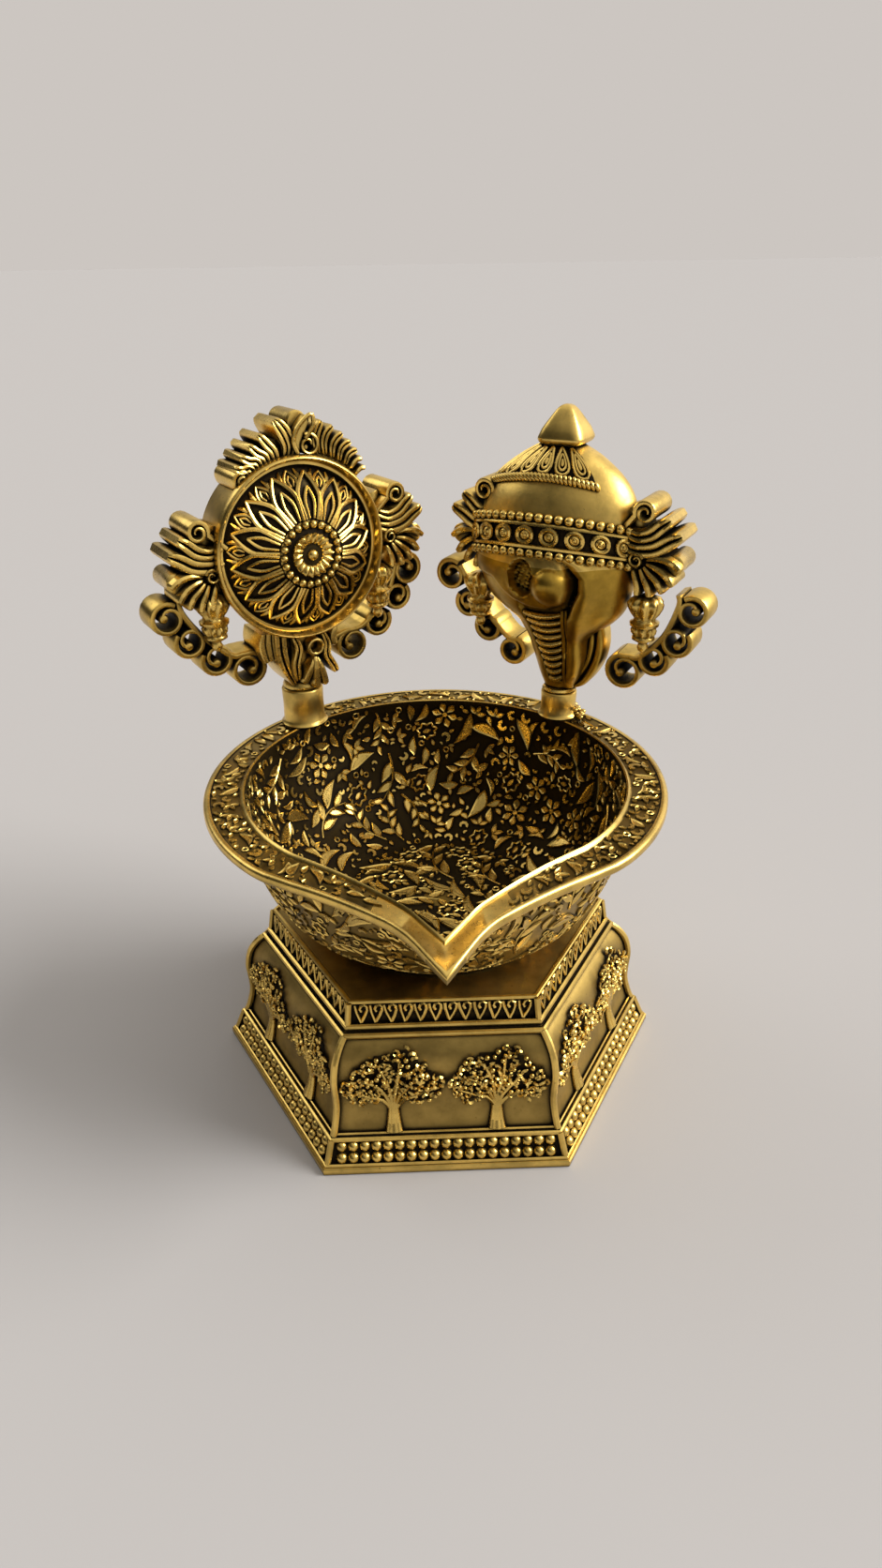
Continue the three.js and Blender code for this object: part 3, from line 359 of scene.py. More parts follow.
def rod(bm, path, radii, sides, up, closed=False):
    """A rod of round section along a path, drawn on by extruding its end; up sets its corners."""
    whole, bm = bm, bmesh.new()
    across_section = bmesh.ops.create_circle(bm, cap_ends=True, segments=sides, radius=1)["verts"]
    end = across_section[0].link_faces[0]
    first_ring = list(across_section)
    last = Matrix.Identity(4)
    count = len(path)
    stations = list(range(count)) + ([0] if closed else [])
    for k, i in enumerate(stations):
        before = path[i - 1] if i or closed else path[i]
        after = path[(i + 1) % count] if i + 1 < count or closed else path[i]
        along = (after - before).normalized()
        lift = up(path[i]) if callable(up) else up
        across = along.cross(lift).normalized()
        rise = across.cross(along)
        radius = radii[i] if hasattr(radii, "__len__") else radii
        turn = Matrix((across, rise, along)).transposed().to_4x4()
        place = Matrix.Translation(path[i]) @ turn @ Matrix.Diagonal((radius, radius, 1, 1))
        if k:
            made = bmesh.ops.extrude_face_region(bm, geom=[end])["geom"]
            ring = [g for g in made if isinstance(g, bmesh.types.BMVert)]
            end = [g for g in made if isinstance(g, bmesh.types.BMFace)][0]
        else:
            ring = first_ring
        bmesh.ops.transform(bm, verts=ring, matrix=place @ last.inverted())
        last = place
    if closed:
        start = [f for f in first_ring[0].link_faces if all(v in first_ring for v in f.verts)]
        bmesh.ops.delete(bm, geom=start + [end], context="FACES_ONLY")
        bmesh.ops.remove_doubles(bm, verts=first_ring + ring, dist=weld)
    join(whole, bm)


bm = bmesh.new()
spun(bm, [
    (flange_inner, 0), (flange_radius - edge_round, 0), (flange_radius, edge_round),
    (flange_radius, flange_height - 0.3 * mm), (flange_radius - 0.3 * mm, flange_height),
    (bead_slope_foot, flange_height), (bead_slope_head, band_top_height),
    (bead_slope_head, panel_foot_height),
    *[(radius - panel_sink, height) for radius, height in panel_line],
    (panel_head - panel_sink, panel_head_height + 0.9 * mm),
    (collar_foot + 0.5 * mm, panel_head_height + 1 * mm),
    (collar_foot + 0.5 * mm, collar_foot_height - 0.3 * mm),
    (collar_foot - frieze_sink, collar_foot_height), (collar_head - frieze_sink, frieze_high),
    (collar_head - edge_round, plinth_height - 0.8 * mm), (collar_head, plinth_height - 0.6 * mm),
    (collar_head, plinth_height - edge_round), (collar_head - edge_round, plinth_height),
    (head_radius, plinth_height), (head_radius - plate_sink, plate_top), (stud_hole, plate_top),
    (stud_hole, plate_top - plate_thickness), (collar_head - panel_wall, plate_top - plate_thickness),
    (collar_foot - panel_wall, collar_foot_height),
    *[(radius - panel_wall, height) for radius, height in reversed(panel_line)],
    (flange_inner, flange_height), (flange_inner, 0),
], plinth_sides, plinth_middle)
panel_faces, edge_faces, ground_faces = range(3)
margin = 0.1 * mm
for face in bm.faces:
    middle = face.calc_center_median()
    reach = (middle - plinth_middle).xy.length
    on_plate = middle.z > plate_top - margin / 10 and reach < head_radius * 0.8
    in_band = flange_height < middle.z < panel_foot_height
    in_frieze = collar_foot_height - margin < middle.z < frieze_high
    on_edge = middle.z < flange_height + margin or middle.z > frieze_high
    if on_edge and not on_plate:
        face.material_index = edge_faces
    else:
        face.material_index = ground_faces if in_band or in_frieze else panel_faces
casting_faces = len(bm.faces)


def corner(side, radius, height):
    """A place on the corner line of the plinth at the given radius and height."""
    turn = side * side_turn
    return plinth_middle + Vector((radius * math.cos(turn), radius * math.sin(turn), height))


def outward(point):
    return Vector((point.x - plinth_middle.x, point.y - plinth_middle.y, 0)).normalized()


band_corner = [(band_foot - 0.4 * mm, flange_height), (band_top + 0.1 * mm, band_top_height + 0.6 * mm)]
collar_corner = [
    (collar_foot - 0.1 * mm, collar_foot_height - 0.2 * mm),
    (collar_head - 0.1 * mm, plinth_height - 0.5 * mm),
]
corner_ribs = [(panel_line, 0.8 * mm), (band_corner, 0.75 * mm), (collar_corner, 0.7 * mm)]
rails = [
    (band_foot + 0.1 * mm, flange_height + 0.1 * mm, 0.45 * mm),
    (band_top + 0.1 * mm, band_top_height + 0.5 * mm, 0.62 * mm),
    (panel_foot - 0.1 * mm, panel_foot_height + 0.25 * mm, 0.3 * mm),
    (panel_head - 0.1 * mm, panel_head_height + 0.2 * mm, 0.7 * mm),
    (collar_foot + 0.3 * mm, collar_foot_height - 0.4 * mm, 0.7 * mm),
]
for side in range(plinth_sides):
    for line, radius in corner_ribs:
        rod(bm, [corner(side, r, z) for r, z in line], radius, 8, outward)
for rail_radius, height, radius in rails:
    rail = [corner(side, rail_radius, height) for side in range(plinth_sides)]
    rod(bm, rail, radius, 8, upward, closed=True)
for face in list(bm.faces)[casting_faces:]:
    face.material_index = edge_faces
shown("plinth_casting", bm, "lamp", [panel_brass, cast_brass, black_brass], ["plinth"], crease=32)

# Beads of the plinth: two rows of nineteen half-round beads on each side of the flange,
# cast with it. They catch the light one by one over a dark ground.
bead_count = 19
bead_radius = 1.34 * mm
bead_spacing = 2.6 * mm
bead_rows = (0.27, 0.76)
across_flats = math.cos(side_turn / 2)


def ready_shape(name, draw):
    """A small shape, drawn once, that is stamped many times."""
    bm = bmesh.new()
    draw(bm)
    mesh = bpy.data.meshes.new(name)
    bm.to_mesh(mesh)
    bm.free()
    return mesh


def ball_shape(name, radius, sides, rings):
    def draw(bm):
        bmesh.ops.create_uvsphere(bm, u_segments=sides, v_segments=rings, radius=radius)
    return ready_shape(name, draw)


def stamp(bm, shape, place):
    """Adds a copy of a small ready shape and returns its points."""
    start = len(bm.verts)
    bm.from_mesh(shape)
    bm.verts.ensure_lookup_table()
    fresh = bm.verts[start:]
    for vert in fresh:
        vert.co = place @ vert.co
    return fresh


bead_shape = ball_shape("bead_shape", bead_radius, 10, 7)
bm = bmesh.new()
for side in range(plinth_sides):
    turn = Matrix.Translation(plinth_middle) @ Matrix.Rotation(side * side_turn, 4, "Z")
    for share in bead_rows:
        reach = bead_slope_foot * (1 - share) + bead_slope_head * share
        height = flange_height * (1 - share) + band_top_height * share
        for k in range(bead_count):
            across = (k - (bead_count - 1) / 2) * bead_spacing
            stamp(bm, bead_shape, turn @ Matrix.Translation((across, -reach * across_flats, height)))
shown("plinth_beads", bm, "lamp", [raised_brass])

# Frieze of the collar: twelve bent wires on each side over a black ground, each a slanted
# upright and a wire that rises from its foot and curls over at the top. Cast with the collar.
loop_count = 12
upright_shares = [(-0.42, 0.5), (-0.34, 0.1), (-0.06, -0.5)]
loop_shares = [
    (0, 0.12), (-0.1, 0.26), (-0.02, 0.43), (0.2, 0.5),
    (0.38, 0.4), (0.38, 0.18), (0.24, -0.12), (-0.02, -0.5),
]
lean_share = 0.1
lean_step = 2.4
wire_radius = 0.34 * mm
wire_out = 0.3 * mm
frieze_low = collar_foot_height + 0.45 * mm
frieze_half = collar_head / 2 - 1.1 * mm
cell = 2 * frieze_half / loop_count
bm = bmesh.new()


def on_collar(side, across, height):
    """A place just over the collar's sunk ground, on one of its sides."""
    share = (height - collar_foot_height) / (plinth_height - collar_foot_height)
    reach = (collar_foot + (collar_head - collar_foot) * share - frieze_sink) * across_flats + wire_out
    return plinth_middle + Matrix.Rotation(side * side_turn, 3, "Z") @ Vector((across, -reach, height))


for side in range(plinth_sides):
    for k in range(loop_count):
        middle = -frieze_half + (k + 0.5) * cell
        height = (frieze_low + frieze_high) / 2
        lean = lean_share * math.sin(k * lean_step)
        for shares in (upright_shares, loop_shares):
            path = [
                on_collar(side, middle + (x + lean * z) * cell, height + z * (frieze_high - frieze_low))
                for x, z in shares
            ]
            rod(bm, path, wire_radius, 6, outward)
shown("plinth_frieze", bm, "lamp", [wire_brass])

# Trees: two on each side of the plinth, a fluted trunk that forks into limbs under a broad
# open crown of small curled leaves and buds, standing out from the panel and rubbed bright.
tree_spacing = 23 * mm
tree_foot = panel_foot_height + 0.6 * mm
fork_height = 6.6
trunk_rods = [(-0.8, 0.75), (0.8, 0.75), (0, 1)]
trunk_shares = [(0, 1.3), (0.3, 1.02), (0.65, 0.9), (1, 0.85)]
trunk_out = 0.45
limb_out = 0.6
limbs = [
    [(-2.2, 8), (-5, 8.8), (-8.4, 10.2)], [(-1.6, 9.4), (-3.6, 12.4), (-7.4, 14)],
    [(-0.6, 10), (-1.4, 14), (-3, 17.4)], [(0.4, 10), (1.2, 14), (1.8, 18.6)],
    [(1.4, 9), (4, 12.6), (6, 15.4)], [(2.4, 8), (5.4, 9.2), (9, 11)],
]
crown_edge = [
    (-2, 9.4), (-4.4, 7.6), (-7.2, 6.4), (-9.6, 8.2), (-11.1, 10.8), (-10.8, 13.4), (-8.6, 15.4),
    (-6.8, 18.2), (-3.6, 19.6), (-0.6, 20), (2.2, 21.2), (4.8, 20.2), (7.2, 17.6), (9.2, 15.4),
    (11.1, 13.4), (10.8, 10.8), (9.4, 8), (7, 6.6), (4.4, 7.6), (2, 9.4),
]
crown_middle = 13.8
crown_half_width = 11.4
crown_half_height = 7.4
shade_out = 0.12
shade_thickness = 0.08 * mm
leaves_in_crown = 190
leaf_tries = 5000
leaf_gap = 1.1
leaf_across = (-11.3, 11.3)
leaf_heights = (6, 21.4)
leaf_lifts = (0.55, 1.2)
leaf_sizes = (0.95, 1.3)
leaf_tilt = 0.5
forward = Vector((0, -1, 0))
chance = random.Random(7)


def on_panel(side, across, height, out):
    """A place over the recessed panel of one side, curved as the panel is."""
    reach = (fit_share([(z, r) for r, z in panel_line], height) - panel_sink) * across_flats + out
    return plinth_middle + Matrix.Rotation(side * side_turn, 3, "Z") @ Vector((across, -reach, height))


def in_outline(outline, x, z):
    """True where a place lies inside the closed outline."""
    inside = False
    for (x0, z0), (x1, z1) in zip(outline, outline[1:] + outline[:1]):
        if (z0 > z) != (z1 > z) and x < x0 + (x1 - x0) * (z - z0) / (z1 - z0):
            inside = not inside
    return inside


def curl_shape(name, radius, thickness, sweep, steps):
    """A small curled leaf: a rod bent into an open ring, thick in the middle."""
    path = [
        Vector((radius * math.cos(sweep * i / steps), 0, radius * math.sin(sweep * i / steps)))
        for i in range(steps + 1)
    ]
    radii = [thickness * (0.55 + 0.45 * math.sin(math.pi * i / steps)) for i in range(steps + 1)]
    return ready_shape(name, lambda bm: rod(bm, path, radii, 4, forward))


def on_tree(side, middle, across, height, out):
    """A place on a tree, from millimetres beside its trunk, over its foot and off the panel."""
    return on_panel(side, middle + across * mm, tree_foot + height * mm, out * mm)


def crown_shade(ground, side, middle):
    """A thin dark sheet behind the leaves, as wide as the crown: a painted shadow."""
    sheet = bmesh.new()
    bmesh.ops.create_grid(sheet, x_segments=24, y_segments=16, size=1)
    outside = []
    for vert in sheet.verts:
        x = crown_half_width * vert.co.x
        z = crown_middle + crown_half_height * vert.co.y
        vert.co = on_tree(side, middle, x, z, shade_out)
        if not in_outline(crown_edge, x, z):
            outside.append(vert)
    bmesh.ops.delete(sheet, geom=outside, context="VERTS")
    join(ground, sheet)


def trunk_and_limbs(bm, side, middle):
    for offset, radius in trunk_rods:
        path = []
        for share, swell in trunk_shares:
            z = share * fork_height
            path.append(on_tree(side, middle, offset * (1.25 - 0.7 * z / fork_height), z, trunk_out))
        rod(bm, path, [radius * swell * mm for share, swell in trunk_shares], 8, outward)
    for limb in limbs:
        line = smooth_through([(limb[0][0] * 0.3, fork_height - 0.6)] + limb, 2)
        path = [on_tree(side, middle, x, z, limb_out) for x, z in line]
        last = len(path) - 1
        rod(bm, path, [(0.72 - 0.45 * i / last) * mm for i in range(last + 1)], 6, outward)


def crown_leaves(bm, side, middle):
    """Leaves and buds scattered in the crown's outline, none nearer than the gap."""
    placed = []
    tries = 0
    while len(placed) < leaves_in_crown and tries < leaf_tries:
        tries += 1
        x = chance.uniform(*leaf_across)
        z = chance.uniform(*leaf_heights)
        crowded = any(math.hypot(x - a, z - b) < leaf_gap for a, b in placed)
        if crowded or not in_outline(crown_edge, x, z):
            continue
        placed.append((x, z))
        point = on_tree(side, middle, x, z, chance.uniform(*leaf_lifts))
        nod = Matrix.Rotation(chance.uniform(-leaf_tilt, leaf_tilt), 4, "X")
        lean = Matrix.Rotation(chance.uniform(-leaf_tilt, leaf_tilt), 4, "Z")
        place = (
            Matrix.Translation(point) @ Matrix.Rotation(side * side_turn, 4, "Z") @ (nod @ lean)
            @ Matrix.Rotation(chance.uniform(0, 2 * math.pi), 4, "Y")
            @ Matrix.Scale(chance.uniform(*leaf_sizes), 4)
        )
        stamp(bm, chance.choice(leaf_shapes), place)


leaf_shapes = [
    curl_shape("open_curl", 0.58 * mm, 0.33 * mm, math.radians(235), 5),
    curl_shape("short_curl", 0.72 * mm, 0.4 * mm, math.radians(130), 4),
    curl_shape("closed_curl", 0.5 * mm, 0.3 * mm, math.radians(300), 6),
    ball_shape("bud", 0.5 * mm, 6, 5),
]
ground = bmesh.new()
bm = bmesh.new()
for side in range(plinth_sides):
    for hand in (-1, 1):
        middle = hand * tree_spacing / 2
        crown_shade(ground, side, middle)
        trunk_and_limbs(bm, side, middle)
        crown_leaves(bm, side, middle)
shown("plinth_trees", bm, "lamp", [wire_brass], crease=60)
bmesh.ops.solidify(ground, geom=ground.faces, thickness=shade_thickness)
shown("tree_shadows", ground, "lamp", [black_brass])

# Bowl: one casting with a foot ring, a broad rim and a pouring lip drawn out to a point.
# The rim's edges, the line round its mouth and the lip are worn plain, and all between
# them lies darkened under a dense relief of leaves and flowers.
rim_radius = 53 * mm
rim_width = 9.3 * mm
rim_thickness = 2.8 * mm
bowl_wall = 2.6 * mm
bowl_bead = 0.5 * mm
foot_radius = 22 * mm
foot_recess = 1.2 * mm
bowl_low, bowl_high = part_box("bowl")
bowl_middle = plinth_middle + Vector((0, 1.5 * mm, 0))
rim_height = bowl_high.z - bowl_bead
rim_underside = rim_height - rim_thickness
lip_reach = bowl_middle.y - bowl_low.y - 2.8 * mm
lip_angle = math.acos(rim_radius / lip_reach)
lip_pinch = 0.025
lip_groove = 2.4 * mm
groove_angle = math.radians(7)
rim_narrowing = [(0, 0.14), (0.09, 0.32), (0.18, 0.37), (0.36, 0.24), (0.6, 0.07), (0.8, 0), (4, 0)]
wall_radius = rim_radius - rim_width + bowl_wall
bowl_shares = [
    (0.53, 0, 0), (0.67, 0.105, 0), (0.8, 0.25, 0.04), (0.875, 0.43, 0.14),
    (0.93, 0.63, 0.34), (0.975, 0.8, 0.62), (1, 1, 0.9),
]
floor_shares = [(0.82, 0.18), (0.55, 0.45), (0.25, 0.75), (0.06, 0.94)]
lip_steps = 26
back_steps = 62


def bowl_point(turn, radius, height, lip):
    """A place on the bowl: a circle whose front is drawn out to the lip by the lip share."""
    away = min(abs(turn), 2 * math.pi - abs(turn))
    beyond = max(0, radius - rim_radius + rim_width)
    reach = radius - beyond * fit_share(rim_narrowing, away)
    if away < lip_angle:
        straight = 1 / math.cos(lip_angle - away)
        reach *= 1 + lip * (straight - 1 - lip_pinch * math.sin(math.pi * away / lip_angle))
    sink = lip_groove * lip * max(0, 1 - away / groove_angle)
    return bowl_middle + Vector((reach * math.sin(turn), -reach * math.cos(turn), height - sink))


outer_levels = [
    (out * wall_radius, bowl_low.z + up * (rim_underside - bowl_low.z), lip) for out, up, lip in bowl_shares
]
inner_levels = []
for i, (radius, height, lip) in enumerate(outer_levels):
    below = outer_levels[max(i - 1, 0)]
    above = outer_levels[min(i + 1, len(outer_levels) - 1)]
    slope = math.atan2(above[1] - below[1], above[0] - below[0])
    inner_levels.append((radius - bowl_wall * math.sin(slope), height + bowl_wall * math.cos(slope), lip))
rim_inner = rim_radius - rim_width
floor_radius, floor_height, _ = inner_levels[0]
rim_ground = rim_height - 0.3 * mm
rim_underedge = [(-1.6, 0.15), (-0.5, 0.5), (0, 1.1)]
rim_edge = [(0, -0.8), (-0.25, -0.25), (-0.8, 0), (-1.5, -0.05), (-1.8, -0.3)]
mouth_line = [(1.25, -0.3), (1.1, -0.05), (0.8, 0.3), (0.45, 0.5), (0.1, 0.3), (0, -0.3)]
rim_levels = [
    (radius + across * mm, height + up * mm, 1)
    for radius, height, line in (
        (rim_radius, rim_underside, rim_underedge),
        (rim_radius, rim_height, rim_edge),
        (rim_inner, rim_height, mouth_line),
    )
    for across, up in line
]
outer_line = [tuple(p) for p in smooth_through(outer_levels, 4)]
inner_line = [tuple(p) for p in smooth_through(inner_levels[::-1], 4)]
floor_line = [
    (floor_radius * share, floor_height - sink * bowl_wall / 2, 0) for share, sink in floor_shares
]
bowl_line = [
    (foot_radius, bowl_low.z + foot_recess, 0), (foot_radius, bowl_low.z, 0),
    *outer_line, *rim_levels, *inner_line, *floor_line,
]
front_turns = [lip_angle * i / lip_steps for i in range(lip_steps + 1)]
back_sweep = 2 * math.pi - 2 * lip_angle
back_turns = [lip_angle + back_sweep * i / (2 * back_steps) for i in range(1, 2 * back_steps)]
turns = front_turns + back_turns + [2 * math.pi - turn for turn in front_turns[:0:-1]]

deep_gold = (0.38, 0.25, 0.055, 1)
rim_gold = (0.3, 0.2, 0.05, 1)
ground_gold = (0.055, 0.036, 0.011, 1)
ground_brass = old_brass(
    "ground_brass", ground_gold, reach=1.6 * mm, clear=1.15, shine=0.42, dull=0.6, grain=0.6, cloudy=0.35,
)
wall_brass = old_brass(
    "wall_brass", deep_gold, reach=1.6 * mm, clear=0.95, shine=0.34, dull=0.6, grain=0.6, cloudy=0.3,
)
rim_brass = old_brass(
    "rim_brass", rim_gold, reach=1.2 * mm, clear=0.95, shine=0.32, dull=0.6, grain=0.5, cloudy=0.35,
)
worn_brass = old_brass(
    "worn_brass", gold, reach=0.8 * mm, clear=0.62, shine=0.27, dull=0.5, grain=0.3, cloudy=0.2,
)

bm = bmesh.new()
ring = bmesh.ops.create_circle(bm, segments=len(turns), radius=foot_radius)["verts"]
edges = list({edge for vert in ring for edge in vert.link_edges})
first_edges = edges
for k, level in enumerate(bowl_line):
    if k:
        made = bmesh.ops.extrude_edge_only(bm, edges=edges)["geom"]
        fresh = [g for g in made if isinstance(g, bmesh.types.BMVert)]
        edges = [g for g in made if isinstance(g, bmesh.types.BMEdge)]
        partner = {v: e.other_vert(v) for v in fresh for e in v.link_edges if e.other_vert(v) in ring_set}
        order = {partner[v]: v for v in fresh}
        ring = [order[v] for v in ring]
    ring_set = set(ring)
    for vert, turn in zip(ring, turns):
        vert.co = bowl_point(turn, *level)
bmesh.ops.holes_fill(bm, edges=edges + first_edges, sides=0)
bmesh.ops.recalc_face_normals(bm, faces=bm.faces)
inner_faces, plain_faces, outer_faces, rim_faces = range(4)
plain_top = rim_height - 0.28 * mm
plain_lip = 0.24
mouth_slope = -0.6
edge_slope = 0.5
for face in bm.faces:
    middle = face.calc_center_median() - bowl_middle
    lip_side = abs(math.atan2(middle.x, -middle.y))
    looks_out = face.normal.xy.dot(middle.xy.normalized())
    on_rim = middle.z > rim_underside + margin and middle.xy.length > rim_inner - 0.5 * mm
    if on_rim and looks_out > mouth_slope:
        plain = middle.z > plain_top or looks_out > edge_slope or lip_side < plain_lip
        face.material_index = plain_faces if plain else rim_faces
    else:
        face.material_index = outer_faces if looks_out > 0 else inner_faces
bowl_finishes = [ground_brass, worn_brass, wall_brass, rim_brass]
shown("bowl_casting", bm, "lamp", bowl_finishes, ["bowl"], crease=50)

# Relief of the bowl: leaves, sprays, flowers, curls and rings, each a raised outline with a
# sunk middle, cast with the bowl and rubbed bright over the blackened ground.
relief_height = 0.42 * mm
relief_root = 0.25 * mm
relief_dish = 0.22 * mm
rim_share = 0.17
vein_rim_share = 0.13
petal_rim_share = 0.18
wire_sunk = 0.1 * mm
spray_radii = [r * mm for r in (0.3, 0.28, 0.26, 0.24, 0.22, 0.2, 0.15)]
grid_step = 1 * mm
grid_turns = 180


def leaf_outline(length, width, bend, points=5, blunt=0.8):
    """Points round a pointed leaf that lies along X and bends to one side."""
    side = []
    for i in range(points + 1):
        t = i / points
        half = width / 2 * math.sin(math.pi * t ** blunt)
        side.append((t, half))
    places = []
    for t, half in side[:-1] + [(t, -half) for t, half in side[:0:-1]]:
        places.append(((t - 0.5) * length, half + bend * math.sin(math.pi * t)))
    return places


def raised(bm, outline, rim, height=relief_height, turn=0, place=(0, 0)):
    """A raised shape with an upstanding edge: its outline extruded, inset and sunk."""
    spot = Matrix.Translation((*place, -relief_root)) @ Matrix.Rotation(turn, 4, "Z")
    own = bmesh.new()
    face = own.faces.new([own.verts.new(spot @ Vector((x, y, 0))) for x, y in outline])
    made = bmesh.ops.extrude_face_region(own, geom=[face])["geom"]
    top = [g for g in made if isinstance(g, bmesh.types.BMFace)][0]
    bmesh.ops.translate(own, verts=top.verts, vec=(0, 0, relief_root + height))
    own.normal_update()
    if rim:
        bmesh.ops.inset_individual(own, faces=[top], thickness=rim, use_even_offset=True)
        bmesh.ops.translate(own, verts=top.verts, vec=(0, 0, -relief_dish))
    join(bm, own)


def turns_round(count):
    return [2 * math.pi / count * i for i in range(count)]


def draw_leaf(length, width, bend):
    def draw(bm):
        raised(bm, leaf_outline(length, width, bend), width * rim_share)
    return draw


def draw_flower(petals, radius, width):
    def draw(bm):
        petal = leaf_outline(radius * 0.8, width, 0, 4, 1.3)
        for k in range(petals):
            turn = 2 * math.pi * k / petals
            middle = (0.62 * radius * math.cos(turn), 0.62 * radius * math.sin(turn))
            raised(bm, petal, width * petal_rim_share, turn=turn, place=middle)
        eye = [(0.2 * radius * math.cos(turn), 0.2 * radius * math.sin(turn)) for turn in turns_round(6)]
        raised(bm, eye, 0, relief_height * 1.2)
    return draw


def draw_curl(radius, width, sweep):
    def draw(bm):
        outer, inner = [], []
        steps = 6
        for i in range(steps + 1):
            turn = sweep * i / steps
            reach = radius * (1 - 0.45 * i / steps)
            half = width / 2 * (0.35 + 0.65 * math.sin(math.pi * (0.15 + 0.8 * i / steps)))
            outer.append(((reach + half) * math.cos(turn), (reach + half) * math.sin(turn)))
            inner.append(((reach - half) * math.cos(turn), (reach - half) * math.sin(turn)))
        raised(bm, outer + inner[::-1], 0)
    return draw


def draw_ring(radius, width):
    def draw(bm):
        path = [
            Vector((radius * math.cos(turn), radius * math.sin(turn), 1.2 * wire_sunk))
            for turn in turns_round(8)
        ]
        rod(bm, path, width / 2, 5, upward, closed=True)
    return draw


def draw_spray(length, leaves, leaf_length, leaf_width, bow):
    """A bowed stem with leaves that stand off it to either side and shrink to its end."""
    def on_stem(t):
        return (t - 0.5) * length, bow * math.sin(math.pi * t)

    def draw(bm):
        last = len(spray_radii) - 1
        stem = [Vector((*on_stem(i / last), wire_sunk)) for i in range(last + 1)]
        rod(bm, stem, spray_radii, 5, upward)
        for k in range(leaves):
            t = (k + 0.7) / leaves
            side = 1 if k % 2 else -1
            lean = side * 0.75 + bow / length * math.pi * math.cos(math.pi * t)
            size = 1 - 0.35 * t
            x, y = on_stem(t)
            middle = (
                x + math.cos(lean) * leaf_length * size * 0.55,
                y + math.sin(lean) * leaf_length * size * 0.55,
            )
            leaf = leaf_outline(leaf_length * size, leaf_width * size, side * -0.25 * mm)
            raised(bm, leaf, leaf_width * rim_share, turn=lean, place=middle)
    return draw


def draw_trefoil(radius, width):
    def draw(bm):
        for lean in (-1.1, 0, 1.1):
            middle = (0.5 * radius * math.cos(lean), 0.5 * radius * math.sin(lean))
            leaf = leaf_outline(radius, width, 0, 4)
            raised(bm, leaf, width * petal_rim_share, turn=lean, place=middle)
    return draw


def draw_wavy_ring(radius, width, waves):
    def draw(bm):
        path = []
        for i in range(waves * 4):
            turn = 2 * math.pi * i / (waves * 4)
            reach = radius * (1 + 0.16 * math.cos(waves * turn))
            path.append(Vector((reach * math.cos(turn), 0.8 * reach * math.sin(turn), 0.15 * mm)))
        rod(bm, path, width / 2, 5, upward, closed=True)
        raised(bm, leaf_outline(radius, radius * 0.5, 0, 4, 1), 0.15 * mm)
    return draw


def draw_veined_leaf(length, width, bend):
    def draw(bm):
        raised(bm, leaf_outline(length, width, bend, 7), width * vein_rim_share)
        raised(bm, leaf_outline(length * 0.7, width * 0.3, bend * 0.8, 4), 0, relief_height * 0.8)
    return draw


def motif(name, draw, circles):
    """A stamped shape with the circles that it covers, each (place along X, radius) in mm."""
    return ready_shape(name, draw), circles


large_motifs = [
    motif("spray", draw_spray(11 * mm, 6, 5 * mm, 2.1 * mm, 1.6 * mm), [(-4, 2.4), (0, 2.9), (4.4, 2.4)]),
    motif(
        "long_spray", draw_spray(13 * mm, 5, 6.4 * mm, 2.5 * mm, 2.2 * mm),
        [(-4.6, 2.6), (0, 3.2), (5, 2.4)],
    ),
    motif("flower", draw_flower(6, 3.4 * mm, 1.8 * mm), [(0, 3.4)]),
    motif("broad_leaf", draw_veined_leaf(8.6 * mm, 3.1 * mm, 1 * mm), [(-2.4, 1.3), (0, 1.8), (2.6, 1.2)]),
    motif("long_leaf", draw_veined_leaf(9.5 * mm, 2.5 * mm, 1.3 * mm), [(-2.8, 1.1), (0, 1.5), (3, 1)]),
    motif("wavy_ring", draw_wavy_ring(2.5 * mm, 0.6 * mm, 7), [(0, 2.7)]),
]
middle_motifs = [
    motif("leaf", draw_leaf(5 * mm, 2.1 * mm, 0.5 * mm), [(-1.3, 1), (0, 1.2), (1.4, 0.9)]),
    motif("bent_leaf", draw_leaf(5.6 * mm, 1.7 * mm, 1.1 * mm), [(-1.6, 0.9), (0, 1.1), (1.7, 0.9)]),
    motif("trefoil", draw_trefoil(2.8 * mm, 1.3 * mm), [(0.9, 1.8)]),
    motif("curl", draw_curl(1.3 * mm, 0.95 * mm, 4.2), [(0, 1.6)]),
]
small_motifs = [
    motif("short_leaf", draw_leaf(2.9 * mm, 1.4 * mm, 0.2 * mm), [(-0.6, 0.65), (0.6, 0.65)]),
    motif("small_curl", draw_curl(0.8 * mm, 0.75 * mm, 3.4), [(0, 1)]),
    motif("ring", draw_ring(0.75 * mm, 0.5 * mm), [(0, 0.95)]),
    motif("chip", draw_leaf(1.9 * mm, 1 * mm, 0), [(0, 0.6)]),
    motif("hook", draw_curl(0.55 * mm, 0.6 * mm, 2.6), [(0, 0.7)]),
]
motif_sizes = (0.85, 1.12)
search_cell = 4 * mm
room_share = 0.75
widest_reach = 60 * mm


def even_levels(line):
    """The line of (radius, height, lip) levels again, one grid step apart."""
    marks = [0]
    for (r0, h0, _), (r1, h1, _) in zip(line, line[1:]):
        marks.append(marks[-1] + math.hypot(r1 - r0, h1 - h0))
    count = int(marks[-1] / grid_step)
    columns = [[(mark, level[c]) for mark, level in zip(marks, line)] for c in range(3)]
    return [tuple(fit_share(column, i * grid_step) for column in columns) for i in range(count + 1)]


